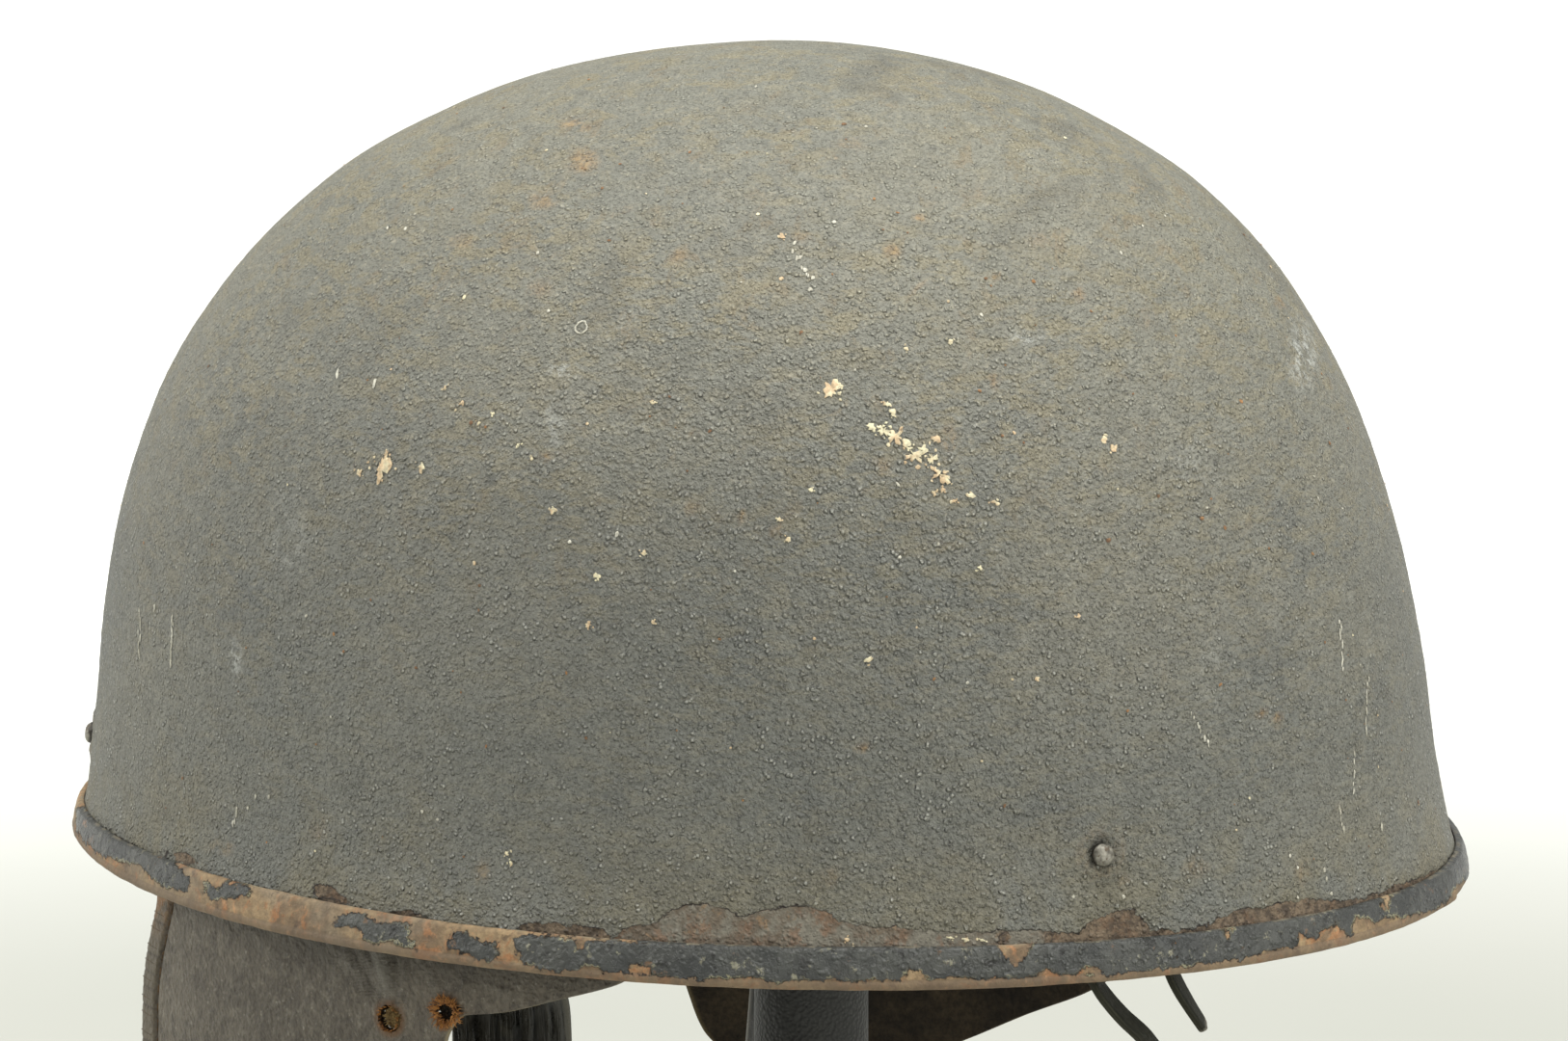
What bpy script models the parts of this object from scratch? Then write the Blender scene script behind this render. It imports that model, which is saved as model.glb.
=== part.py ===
"""A rider's steel crash helmet with leather ear flaps, standing on a plain display stand.

The wearer's brow points to -Y, the wearer's left to +X, up is +Z and the floor is Z = 0.
All sizes are in metres; the tables are in millimetres and say so in their names.
"""

import math

import bmesh
import bpy
from mathutils import Matrix, Vector

MM = 0.001
GAP = 0.0003

# ---------------------------------------------------------------- named sizes
RIM_Z = 0.205            # underside of the folded rim above the floor
AXIS_Y = 0.0072          # the widest line of the shell lies this far behind the middle
SQUARENESS = 1.95        # exponent of the plan outline, 2 is an ellipse
STEEL = 0.0012           # shell sheet
CROWN_H = 157.5          # height of the crown above the rim, mm
SHELL_SEGMENTS = 60

BAND_H = 8.4             # outer leg of the folded rim strip, mm
BAND_INNER_H = 6.0       # inner leg, mm
BAND_WALL = 1.3          # mm
BAND_SEGMENTS = 80
BAND_JOINT_DEG = 96.0    # where the ends of the strip meet, near the nape
BAND_JOINT_GAP = 0.6     # mm

RIVET_HEAD_D = 0.0050
RIVET_HEAD_H = 0.0017
RIVET_SHANK_D = 0.0030
RIVET_HOLE_D = 0.0039
RIVET_TAIL_D = 0.0080

LEATHER = 0.0026         # flap leather
LEATHER_SECTION_H = 38.0 # the leather follows the wall as it is at this height, mm
LEATHER_INSET = 1.75     # from the outside of the steel to the outside of the leather, mm

STRAP_W = 0.026
STRAP_T = 0.0022
LACE_T = 0.0015

POST_D = 0.0226
POST_Y = 0.0122
BASE_D = 0.170
BASE_H = 0.014
PAD_H = 134.0            # underside of the head rest above the rim, mm
PAD_DROP = 0.0024        # the rest lies this much lower than the inside of the crown

# Plan reach of the steel at each height above the rim, measured from the axis line.
SECTIONS_MM = [
    # height, front, rear, half_width
    (0.0, 149.2, 134.8, 116.0),
    (9.0, 147.0, 132.2, 113.6),
    (16.0, 146.3, 130.6, 112.2),
    (25.0, 145.2, 128.7, 111.2),
    (40.0, 143.8, 126.5, 110.2),
    (60.0, 140.2, 122.3, 108.2),
    (85.0, 131.3, 114.1, 103.4),
    (110.0, 115.2, 100.3, 92.0),
    (130.0, 93.9, 82.4, 75.0),
    (144.0, 68.6, 59.5, 55.0),
    (153.0, 41.0, 36.4, 32.5),
    (CROWN_H, 0.0, 0.0, 0.0),
]
SHELL_RINGS_MM = [1.6, 8, 17, 38, 60, 80, 98, 113, 126, 137, 146, 152.5, 156.3]

# Rivets: side is +1 on the wearer's left; place is (half-plan angle, height above the rim).
RIVETS = [
    # name, side, angle_deg, height_mm
    ("rivet_front_left", 1, -70.4, 18.0),
    ("rivet_rear_left", 1, 54.6, 22.1),
    ("rivet_front_right", -1, -70.4, 18.0),
    ("rivet_rear_right", -1, 54.6, 22.1),
]

# Leather outline: how far the front and rear edges reach along Y from the axis line at each
# height, and how far the sheet leans outward there.
FLAP_LEFT_MM = [
    # height, front_y, rear_y, lean_front, lean_rear
    (34.0, -135.0, 108.0, 0.0, 0.0),
    (24.0, -136.8, 110.0, 0.0, 0.0),
    (12.0, -135.0, 108.5, 0.0, 0.0),
    (7.0, -120.0, 92.0, 0.0, 0.0),
    (3.0, -102.0, 36.0, 0.0, 0.0),
    (0.0, -98.6, 24.5, 0.0, 0.0),
    (-3.4, -98.2, 18.4, 0.1, 0.1),
    (-7.0, -98.5, 7.6, 0.3, 0.2),
    (-10.6, -99.8, -3.8, 0.5, 0.3),
    (-12.4, -100.4, -12.6, 0.6, 0.3),
    (-17.8, -102.4, -16.4, 0.8, 0.2),
    (-26.0, -104.2, -18.0, 1.0, 0.0),
    (-35.0, -104.8, -21.0, 1.0, -0.6),
    (-46.0, -102.5, -26.5, 0.6, -1.6),
    (-56.0, -96.0, -34.5, -0.4, -2.6),
    (-64.0, -86.5, -45.0, -1.8, -3.6),
    (-68.5, -76.5, -55.5, -2.8, -4.2),
]
FLAP_RIGHT_MM = [
    # height, front_y, rear_y, lean_front, lean_rear
    (34.0, -135.0, 108.0, 0.0, 0.0),
    (24.0, -136.8, 110.0, 0.0, 0.0),
    (12.0, -135.0, 108.5, 0.0, 0.0),
    (7.0, -120.0, 95.0, 0.0, 0.0),
    (3.0, -102.0, 62.0, 0.0, 0.0),
    (0.0, -98.0, 53.0, 0.0, 0.0),
    (-8.0, -95.5, 48.0, 0.1, 0.1),
    (-18.0, -91.5, 44.0, 0.2, 0.2),
    (-30.0, -84.5, 39.0, 0.2, 0.2),
    (-42.0, -77.5, 31.0, 0.2, 0.2),
    (-51.8, -72.8, 18.8, 0.0, 0.2),
    (-59.7, -70.5, 2.4, 0.0, 0.2),
    (-66.5, -68.2, -11.0, -0.2, 0.2),
    (-72.5, -64.0, -24.0, -0.4, 0.0),
    (-76.5, -56.5, -36.0, -0.6, -0.2),
]
FLAP_COLUMNS = 16

HEARING_HOLES_MM = [
    # node, y from the axis line, height, radius
    ("flap_left", -29.0, -15.0, 2.6),
    ("flap_left", -15.8, -11.8, 1.6),
    ("flap_right", -30.3, -20.0, 2.0),
    ("flap_right", -12.0, -20.0, 2.0),
]

# Chin strap: one loop seen from the front, x outward and height above the rim; y is the
# middle of its width. It starts on the inner face of the left flap.
STRAP_LEFT_MM = [
    # x, y, height
    (96.0, -26.0, 26.0),
    (96.2, -25.0, 14.0),
    (94.5, -23.0, 3.0),
    (86.0, -20.5, -5.0),
    (74.0, -18.9, -9.5),
    (67.6, -18.4, -18.0),
    (66.0, -18.4, -30.0),
    (65.0, -19.0, -50.0),
    (62.0, -20.0, -78.0),
    (54.0, -21.0, -108.0),
    (38.0, -21.6, -132.0),
    (18.0, -22.0, -144.5),
]
STRAP_BOTTOM_MM = (0.0, -22.0, -148.0)
STRAP_RIGHT_Y_SHIFT_MM = -3.2   # the far half hangs this much nearer to the brow
STRAP_STEPS = 40

BUCKLE_HEIGHT = -84.0    # place of the buckle on the right half, mm
BUCKLE_W = 0.034
BUCKLE_L = 0.020
BUCKLE_T = 0.0062

LACES_MM = {
    # node: (width in m, points from inside the rear left rivet down; x, y, height)
    "lace_long": (0.0062, [
        (66.4, 97.2, 15.5), (66.0, 97.6, 12.0), (65.3, 98.6, 7.5), (65.6, 100.6, 2.0),
        (65.4, 103.1, -3.1), (63.6, 104.8, -6.6), (61.4, 106.7, -9.9), (57.6, 109.9, -14.9),
        (54.6, 112.0, -21.0), (52.6, 113.0, -30.0), (51.4, 112.8, -42.0), (51.0, 111.8, -55.0),
        (51.0, 110.6, -68.0),
    ]),
    "lace_short": (0.0049, [
        (54.9, 107.2, 18.0), (54.4, 107.6, 13.0), (53.4, 108.6, 8.0), (53.6, 111.0, 2.0),
        (53.2, 113.2, -3.8), (50.8, 114.9, -8.7), (47.9, 116.8, -13.7),
    ]),
}

COLOURS = {
    # slot: (colour, roughness, metallic)
    "painted_steel": ((0.085, 0.083, 0.072), 0.62, 0.0),
    "rusty_rim": ((0.190, 0.120, 0.080), 0.70, 0.2),
    "rivet_steel": ((0.120, 0.100, 0.080), 0.50, 0.6),
    "flap_leather": ((0.240, 0.205, 0.165), 0.65, 0.0),
    "strap_leather": ((0.035, 0.030, 0.026), 0.35, 0.0),
    "lace_leather": ((0.050, 0.045, 0.032), 0.55, 0.0),
    "buckle_metal": ((0.300, 0.270, 0.220), 0.40, 0.8),
    "stand_post": ((0.070, 0.072, 0.068), 0.60, 0.0),
    "stand_wood": ((0.050, 0.048, 0.045), 0.50, 0.0),
}


# ---------------------------------------------------------------- scene and materials
def clear_scene():
    for obj in list(bpy.data.objects):
        bpy.data.objects.remove(obj, do_unlink=True)


def material(slot):
    colour, roughness, metallic = COLOURS[slot]
    mat = bpy.data.materials.new(slot)
    mat.use_nodes = True
    shader = mat.node_tree.nodes["Principled BSDF"]
    shader.inputs["Base Color"].default_value = (*colour, 1.0)
    shader.inputs["Roughness"].default_value = roughness
    shader.inputs["Metallic"].default_value = metallic
    return mat


def new_object(name, bm, slot, smooth=True):
    mesh = bpy.data.meshes.new(name)
    bmesh.ops.recalc_face_normals(bm, faces=bm.faces)
    bm.to_mesh(mesh)
    bm.free()
    if slot is not None:
        mesh.materials.append(material(slot))
    if smooth:
        mesh.shade_smooth()
        mesh.set_sharp_from_angle(angle=math.radians(35))
    obj = bpy.data.objects.new(name, mesh)
    bpy.context.scene.collection.objects.link(obj)
    return obj


def subtract(target, cutter):
    cutter.hide_render = True
    cutter.display_type = "WIRE"
    cut = target.modifiers.new("cut_" + cutter.name, "BOOLEAN")
    cut.operation = "DIFFERENCE"
    cut.solver = "EXACT"
    cut.object = cutter


# ---------------------------------------------------------------- shape of the steel
def monotone(xs, ys, x):
    """Smooth curve through the points that never overshoots between them."""
    n = len(xs)
    slope = [(ys[i + 1] - ys[i]) / (xs[i + 1] - xs[i]) for i in range(n - 1)]
    tangent = [slope[0]]
    for i in range(1, n - 1):
        a, b = slope[i - 1], slope[i]
        tangent.append(0.0 if a * b <= 0 else 2 * a * b / (a + b))
    tangent.append(slope[-1])
    x = min(max(x, xs[0]), xs[-1])
    i = max(j for j in range(n - 1) if xs[j] <= x)
    h = xs[i + 1] - xs[i]
    t = (x - xs[i]) / h
    return (
        (2 * t**3 - 3 * t**2 + 1) * ys[i]
        + (t**3 - 2 * t**2 + t) * h * tangent[i]
        + (-2 * t**3 + 3 * t**2) * ys[i + 1]
        + (t**3 - t**2) * h * tangent[i + 1]
    )


def reach(height_mm, inset_mm=0.0):
    """Front, rear and half-width reach in mm; squares are interpolated, so the crown is round."""
    heights = [row[0] for row in SECTIONS_MM]
    out = []
    for column in (1, 2, 3):
        squares = [row[column] ** 2 for row in SECTIONS_MM]
        out.append(math.sqrt(max(monotone(heights, squares, height_mm), 0.0)) - inset_mm)
    return out


def plan_point(height_mm, angle, inset_mm=0.0):
    """A point of the plan outline; angle 0 is the wearer's left, 90 degrees is the nape."""
    front, rear, half = reach(height_mm)
    c, s = math.cos(angle), math.sin(angle)
    power = 2.0 / SQUARENESS
    x = half * math.copysign(abs(c) ** power, c)
    y = (front if s < 0 else rear) * math.copysign(abs(s) ** power, s)
    if inset_mm:
        ly = front if s < 0 else rear
        nx = math.copysign(abs(x / half) ** (SQUARENESS - 1) / half, c)
        ny = math.copysign(abs(y / ly) ** (SQUARENESS - 1) / ly, s)
        length = math.hypot(nx, ny)
        x -= inset_mm * nx / length
        y -= inset_mm * ny / length
    return Vector((x * MM, AXIS_Y + y * MM, RIM_Z + height_mm * MM))


def plan_angle_of(height_mm, angle_deg):
    """Outline parameter whose point lies in the direction angle_deg from the axis line."""
    lo, hi = -math.pi / 2, math.pi / 2
    want = math.radians(angle_deg)
    for _ in range(50):
        mid = (lo + hi) / 2
        p = plan_point(height_mm, mid)
        if math.atan2(p.y - AXIS_Y, p.x) < want:
            lo = mid
        else:
            hi = mid
    return (lo + hi) / 2


def surface_normal(height_mm, angle):
    d = 0.5
    up = plan_point(height_mm + d, angle) - plan_point(height_mm - d, angle)
    along = plan_point(height_mm, angle + 0.01) - plan_point(height_mm, angle - 0.01)
    n = along.cross(up).normalized()
    return n if n.x * math.cos(angle) + n.y * math.sin(angle) > 0 else -n


def loft(bm, rings, closed_rows=True):
    """Quads between rows of vertices."""
    for a, b in zip(rings, rings[1:]):
        count = len(a)
        last = count if closed_rows else count - 1
        for i in range(last):
            j = (i + 1) % count
            bm.faces.new((a[i], a[j], b[j], b[i]))


# ---------------------------------------------------------------- pieces
def make_shell():
    bm = bmesh.new()
    rings = []
    for h in SHELL_RINGS_MM:
        rings.append([
            bm.verts.new(plan_point(h, 2 * math.pi * i / SHELL_SEGMENTS))
            for i in range(SHELL_SEGMENTS)
        ])
    loft(bm, rings)
    apex = bm.verts.new((0.0, AXIS_Y, RIM_Z + CROWN_H * MM))
    top = rings[-1]
    for i in range(SHELL_SEGMENTS):
        bm.faces.new((top[i], top[(i + 1) % SHELL_SEGMENTS], apex))
    shell = new_object("steel_shell", bm, "painted_steel")
    thick = shell.modifiers.new("sheet", "SOLIDIFY")
    thick.thickness = STEEL
    thick.offset = -1.0
    thick.use_even_offset = True
    return shell


def make_band():
    """Folded strip: outer leg, rolled underside, inner leg, then back up inside the fold."""
    w = BAND_WALL
    outer = 0.3 + w
    inner = -(STEEL / MM + 0.1 + 0.4)
    section = [
        # offset outward from the steel, height
        (outer, BAND_H - 0.3), (outer, 1.3), (outer - 0.5, 0.35), (outer - 1.3, 0.0),
        (inner - 0.1, 0.0), (inner - 0.7, 0.35), (inner - 1.0, 1.2),
        (inner - 1.0, BAND_INNER_H), (inner, BAND_INNER_H), (inner, 1.25), (0.3, 1.25),
        (0.3, BAND_H), (outer - 0.4, BAND_H),
    ]
    bm = bmesh.new()
    mean = math.radians(BAND_JOINT_DEG)
    half_gap = BAND_JOINT_GAP / 2 / reach(0)[1]
    rows = []
    for i in range(BAND_SEGMENTS + 1):
        angle = mean + half_gap + (2 * math.pi - 2 * half_gap) * i / BAND_SEGMENTS
        rows.append([bm.verts.new(plan_point(h, angle, -off)) for off, h in section])
    loft(bm, rows)
    bm.faces.new(rows[0])
    bm.faces.new(list(reversed(rows[-1])))
    return new_object("rim_band", bm, "rusty_rim")


def leather_point(y_mm, height_mm, inset_mm, lean_mm):
    """A point of a vertical sheet inside the wall; y from the axis line."""
    front, rear, half = reach(LEATHER_SECTION_H)
    front, rear, half = front - inset_mm, rear - inset_mm, half - inset_mm
    ly = front if y_mm < 0 else rear
    share = min(abs(y_mm) / ly, 0.999)
    x = half * (1 - share**SQUARENESS) ** (1 / SQUARENESS)
    nx = (x / half) ** (SQUARENESS - 1) / half
    ny = math.copysign(share ** (SQUARENESS - 1) / ly, y_mm)
    length = math.hypot(nx, ny)
    return Vector((
        (x + lean_mm * nx / length) * MM,
        AXIS_Y + (y_mm + lean_mm * ny / length) * MM,
        RIM_Z + height_mm * MM,
    ))


def make_flap(name, table, side):
    bm = bmesh.new()
    faces = []
    for depth in (0.0, LEATHER / MM):
        rows = []
        for h, y0, y1, lean0, lean1 in table:
            row = []
            for i in range(FLAP_COLUMNS + 1):
                t = i / FLAP_COLUMNS
                p = leather_point(
                    y0 + (y1 - y0) * t, h, LEATHER_INSET + depth, lean0 + (lean1 - lean0) * t**0.6
                )
                row.append(bm.verts.new((side * p.x, p.y, p.z)))
            rows.append(row)
        loft(bm, rows, closed_rows=False)
        faces.append(rows)
    a, b = faces
    border = (
        [(r, 0) for r in range(len(table))]
        + [(len(table) - 1, c) for c in range(1, FLAP_COLUMNS + 1)]
        + [(r, FLAP_COLUMNS) for r in range(len(table) - 2, -1, -1)]
        + [(0, c) for c in range(FLAP_COLUMNS - 1, 0, -1)]
    )
    for (r0, c0), (r1, c1) in zip(border, border[1:] + border[:1]):
        bm.faces.new((a[r0][c0], a[r1][c1], b[r1][c1], b[r0][c0]))
    return new_object(name, bm, "flap_leather")


def cylinder_between(name, centre, axis, radius, length, sides, slot=None):
    bm = bmesh.new()
    bmesh.ops.create_cone(
        bm, cap_ends=True, segments=sides, radius1=radius, radius2=radius, depth=length
    )
    turn = axis.to_track_quat("Z", "Y").to_matrix().to_4x4()
    bmesh.ops.transform(bm, matrix=Matrix.Translation(centre) @ turn, verts=bm.verts)
    return new_object(name, bm, slot, smooth=slot is not None)


def rivet_place(side, angle_deg, height_mm):
    angle = plan_angle_of(height_mm, angle_deg)
    p = plan_point(height_mm, angle)
    n = surface_normal(height_mm, angle)
    return Vector((side * p.x, p.y, p.z)), Vector((side * n.x, n.y, n.z))


def make_rivet(name, side, angle_deg, height_mm):
    place, axis = rivet_place(side, angle_deg, height_mm)
    head_r, shank_r, tail_r = RIVET_HEAD_D / 2, RIVET_SHANK_D / 2, RIVET_TAIL_D / 2
    tail_top = -0.0086
    profile = [(0.0, GAP + RIVET_HEAD_H)]
    for k in range(1, 4):
        a = math.radians(30 * k)
        profile.append((head_r * math.sin(a), GAP + RIVET_HEAD_H * math.cos(a)))
    profile += [
        (shank_r, GAP), (shank_r, tail_top), (tail_r, tail_top),
        (tail_r, tail_top - 0.0010), (0.0, tail_top - 0.0010),
    ]
    sides = 12
    bm = bmesh.new()
    top = bm.verts.new((0, 0, profile[0][1]))
    bottom = bm.verts.new((0, 0, profile[-1][1]))
    rings = [
        [bm.verts.new((r * math.cos(2 * math.pi * i / sides), r * math.sin(2 * math.pi * i / sides), z))
         for i in range(sides)]
        for r, z in profile[1:-1]
    ]
    loft(bm, rings)
    for i in range(sides):
        j = (i + 1) % sides
        bm.faces.new((top, rings[0][i], rings[0][j]))
        bm.faces.new((bottom, rings[-1][j], rings[-1][i]))
    turn = axis.to_track_quat("Z", "Y").to_matrix().to_4x4()
    bmesh.ops.transform(bm, matrix=Matrix.Translation(place) @ turn, verts=bm.verts)
    return new_object(name, bm, "rivet_steel")


def smooth_path(points, steps):
    """Points evenly spread along a Catmull-Rom curve through the given ones."""
    pts = [Vector(p) for p in points]
    ext = [pts[0] * 2 - pts[1]] + pts + [pts[-1] * 2 - pts[-2]]
    dense = []
    for i in range(1, len(ext) - 2):
        p0, p1, p2, p3 = ext[i - 1:i + 3]
        for k in range(24):
            t = k / 24
            dense.append(0.5 * ((2 * p1) + (p2 - p0) * t + (2 * p0 - 5 * p1 + 4 * p2 - p3) * t * t
                                + (3 * p1 - p0 - 3 * p2 + p3) * t**3))
    dense.append(pts[-1])
    lengths = [0.0]
    for a, b in zip(dense, dense[1:]):
        lengths.append(lengths[-1] + (b - a).length)
    out = []
    j = 0
    for k in range(steps + 1):
        want = lengths[-1] * k / steps
        while j < len(lengths) - 2 and lengths[j + 1] < want:
            j += 1
        t = (want - lengths[j]) / (lengths[j + 1] - lengths[j])
        out.append(dense[j].lerp(dense[j + 1], min(max(t, 0.0), 1.0)))
    return out


def to_world(row):
    return Vector((row[0] * MM, row[1] * MM, RIM_Z + row[2] * MM))


def strap_path():
    right = [
        (-x, y + STRAP_RIGHT_Y_SHIFT_MM, h) for x, y, h in reversed(STRAP_LEFT_MM)
    ]
    return smooth_path([to_world(r) for r in STRAP_LEFT_MM + [STRAP_BOTTOM_MM] + right], STRAP_STEPS)


def strip(name, path, across, width, thickness, slot, taper=0):
    """A flat strip along a path; across(i) gives the direction of its width."""
    bm = bmesh.new()
    rows = []
    count = len(path)
    for i, p in enumerate(path):
        tangent = (path[min(i + 1, count - 1)] - path[max(i - 1, 0)]).normalized()
        side = across(i)
        side = (side - tangent * side.dot(tangent)).normalized()
        face = tangent.cross(side)
        half = width / 2
        end = min(i, count - 1 - i)
        if end < taper:
            half *= (0.70, 0.92)[min(end, 1)]
        edge = min(thickness * 0.4, half * 0.3)
        rows.append([
            bm.verts.new(p + side * a + face * b)
            for a, b in (
                (half - edge, thickness / 2), (half, 0.0), (half - edge, -thickness / 2),
                (-half + edge, -thickness / 2), (-half, 0.0), (-half + edge, thickness / 2),
            )
        ])
    loft(bm, rows)
    bm.faces.new(rows[0])
    bm.faces.new(list(reversed(rows[-1])))
    return new_object(name, bm, slot)


def make_strap():
    path = strap_path()
    return strip("chin_strap", path, lambda i: Vector((0, 1, 0)), STRAP_W, STRAP_T, "strap_leather",
                 taper=2)


def make_buckle():
    """A flat frame that goes round the strap."""
    path = strap_path()
    right = [i for i, p in enumerate(path) if p.x < -0.02]
    at = min(right, key=lambda i: abs(path[i].z - (RIM_Z + BUCKLE_HEIGHT * MM)))
    place = path[at]
    along = (path[at + 1] - path[at - 1]).normalized()
    side = Vector((0, 1, 0))
    side = (side - along * side.dot(along)).normalized()
    face = along.cross(side)
    turn = Matrix((side, face, along)).transposed().to_4x4()
    place_matrix = Matrix.Translation(place) @ turn

    def box(name, w, t, length, slot):
        bm = bmesh.new()
        bmesh.ops.create_cube(bm, size=1.0, matrix=Matrix.Diagonal((w, t, length, 1.0)))
        bmesh.ops.transform(bm, matrix=place_matrix, verts=bm.verts)
        return new_object(name, bm, slot, smooth=False)

    buckle = box("chin_buckle", BUCKLE_W, BUCKLE_T, BUCKLE_L, "buckle_metal")
    cutter = box("cut_buckle", STRAP_W + 0.0014, STRAP_T + 0.0016, BUCKLE_L * 1.6, None)
    subtract(buckle, cutter)
    return buckle


def make_lace(name):
    width, rows = LACES_MM[name]
    points = [to_world(r) for r in rows]
    path = smooth_path(points, 20 if name == "lace_long" else 10)
    length = len(path)

    def across(i):
        # the flat side faces outward from the wall
        p = path[i]
        return Vector((p.y - AXIS_Y, -p.x, 0)).normalized()

    return strip(name, path, across, width, LACE_T, "lace_leather", taper=1)


def make_stand():
    bottom, top = BASE_H + GAP, RIM_Z + PAD_H * MM - PAD_DROP - GAP
    cylinder_between(
        "stand_post", Vector((0, POST_Y, (bottom + top) / 2)), Vector((0, 0, 1)),
        POST_D / 2, top - bottom, 24, "stand_post",
    )

    bm = bmesh.new()
    sides = 40
    profile = [(BASE_D / 2 - 0.0015, 0.0), (BASE_D / 2, 0.0015), (BASE_D / 2, BASE_H - 0.003),
               (BASE_D / 2 - 0.003, BASE_H)]
    rings = [
        [bm.verts.new((r * math.cos(2 * math.pi * i / sides), r * math.sin(2 * math.pi * i / sides) + POST_Y, z))
         for i in range(sides)]
        for r, z in profile
    ]
    loft(bm, rings)
    bm.faces.new(rings[0])
    bm.faces.new(rings[-1])
    new_object("stand_base", bm, "stand_wood")

    # The head rest follows the inside of the crown.
    inset = STEEL / MM + 0.75
    bm = bmesh.new()
    rows = []
    for h, share in ((PAD_H, 0.62), (PAD_H + 3, 0.70), (141.0, 0.80), (147.0, 0.90),
                     (150.5, 0.955), (153.0, 0.98)):
        ring = []
        for i in range(30):
            p = plan_point(h, 2 * math.pi * i / 30, inset)
            ring.append(bm.verts.new((
                p.x * share, AXIS_Y + (p.y - AXIS_Y) * share, p.z - PAD_DROP
            )))
        rows.append(ring)
    loft(bm, rows)
    bm.faces.new(rows[0])
    bm.faces.new(rows[-1])
    new_object("stand_pad", bm, "stand_wood")


def main():
    clear_scene()
    shell = make_shell()
    make_band()
    flaps = {
        "flap_left": make_flap("flap_left", FLAP_LEFT_MM, 1),
        "flap_right": make_flap("flap_right", FLAP_RIGHT_MM, -1),
    }
    for name, side, angle_deg, height_mm in RIVETS:
        make_rivet(name, side, angle_deg, height_mm)
        place, axis = rivet_place(side, angle_deg, height_mm)
        subtract(shell, cylinder_between("cut_" + name, place, axis, RIVET_HOLE_D / 2, 0.006, 12))
        flap = flaps["flap_left" if side > 0 else "flap_right"]
        subtract(flap, cylinder_between(
            "cut_leather_" + name, place - axis * 0.0055, axis, RIVET_HOLE_D / 2 + 0.0008, 0.010, 12
        ))
    for k, (node, y, h, radius) in enumerate(HEARING_HOLES_MM):
        side = 1 if node == "flap_left" else -1
        p = leather_point(y, h, LEATHER_INSET, 0)
        q = leather_point(y, h, LEATHER_INSET + 3, 0)
        axis = (p - q).normalized()
        subtract(flaps[node], cylinder_between(
            f"cut_hearing_{k}", Vector((side * p.x, p.y, p.z)), Vector((side * axis.x, axis.y, 0)),
            radius * MM, 0.014, 14
        ))
    make_strap()
    make_buckle()
    make_lace("lace_long")
    make_lace("lace_short")
    make_stand()


main()
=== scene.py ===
"""Looks of the despatch rider helmet on its stand.

Row frame: the brow points to -Y, the wearer's left to +X, the floor is Z = 0, metres.
Tables in millimetres say so in their names; tables in photo pixels end in _PX.
"""

import math
import random

import bpy
import numpy as np
from mathutils import Matrix, Vector, noise


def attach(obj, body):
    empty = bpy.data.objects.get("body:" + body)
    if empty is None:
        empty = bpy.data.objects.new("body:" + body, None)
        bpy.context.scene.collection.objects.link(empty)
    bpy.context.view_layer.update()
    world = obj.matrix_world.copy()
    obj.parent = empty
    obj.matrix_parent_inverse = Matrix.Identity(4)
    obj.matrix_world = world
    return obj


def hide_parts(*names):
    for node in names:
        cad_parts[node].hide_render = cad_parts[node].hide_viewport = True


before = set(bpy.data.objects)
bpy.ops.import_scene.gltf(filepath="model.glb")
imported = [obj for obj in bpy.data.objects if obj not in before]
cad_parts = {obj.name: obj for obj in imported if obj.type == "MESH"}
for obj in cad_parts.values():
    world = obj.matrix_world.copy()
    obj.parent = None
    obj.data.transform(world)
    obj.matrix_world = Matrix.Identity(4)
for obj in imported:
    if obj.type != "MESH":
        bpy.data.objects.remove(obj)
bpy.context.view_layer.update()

MM = 0.001
RNG = random.Random(11)

# ================================================================= camera
CAMERA_AT = (1.076143, 0.554485, 0.481703)
AZIMUTH, ELEVATION = math.radians(117.0), math.radians(9.982)
LENS, SENSOR = 143.975, 36.0
PHOTO_W, PHOTO_H = 1626, 1080
FOCAL_PX = LENS / SENSOR * PHOTO_W

BACK = np.array([
    math.sin(AZIMUTH) * math.cos(ELEVATION), -math.cos(AZIMUTH) * math.cos(ELEVATION),
    math.sin(ELEVATION),
])
RIGHT = np.array([math.cos(AZIMUTH), math.sin(AZIMUTH), 0.0])
UP = np.cross(BACK, RIGHT)
EYE = np.array(CAMERA_AT)
PX_PER_MM = 5.257

camera_data = bpy.data.cameras.new("camera")
camera_data.lens = LENS
camera_data.sensor_width = SENSOR
camera_data.clip_start = 0.05
camera_data.clip_end = 60.0
camera = bpy.data.objects.new("camera", camera_data)
bpy.context.scene.collection.objects.link(camera)
camera.matrix_world = Matrix((
    (RIGHT[0], UP[0], BACK[0], EYE[0]),
    (RIGHT[1], UP[1], BACK[1], EYE[1]),
    (RIGHT[2], UP[2], BACK[2], EYE[2]),
    (0, 0, 0, 1),
))
bpy.context.scene.camera = camera
bpy.context.scene.view_settings.view_transform = "Standard"


def to_px(points):
    """Photo pixels of points in metres."""
    r = np.asarray(points) - EYE
    depth = -(r @ BACK)
    return np.stack([
        PHOTO_W / 2 + (r @ RIGHT) * FOCAL_PX / depth,
        PHOTO_H / 2 - (r @ UP) * FOCAL_PX / depth,
    ], axis=-1)


def ray(px, py):
    d = -BACK + RIGHT * (px - PHOTO_W / 2) / FOCAL_PX - UP * (py - PHOTO_H / 2) / FOCAL_PX
    return d / np.linalg.norm(d)


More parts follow.
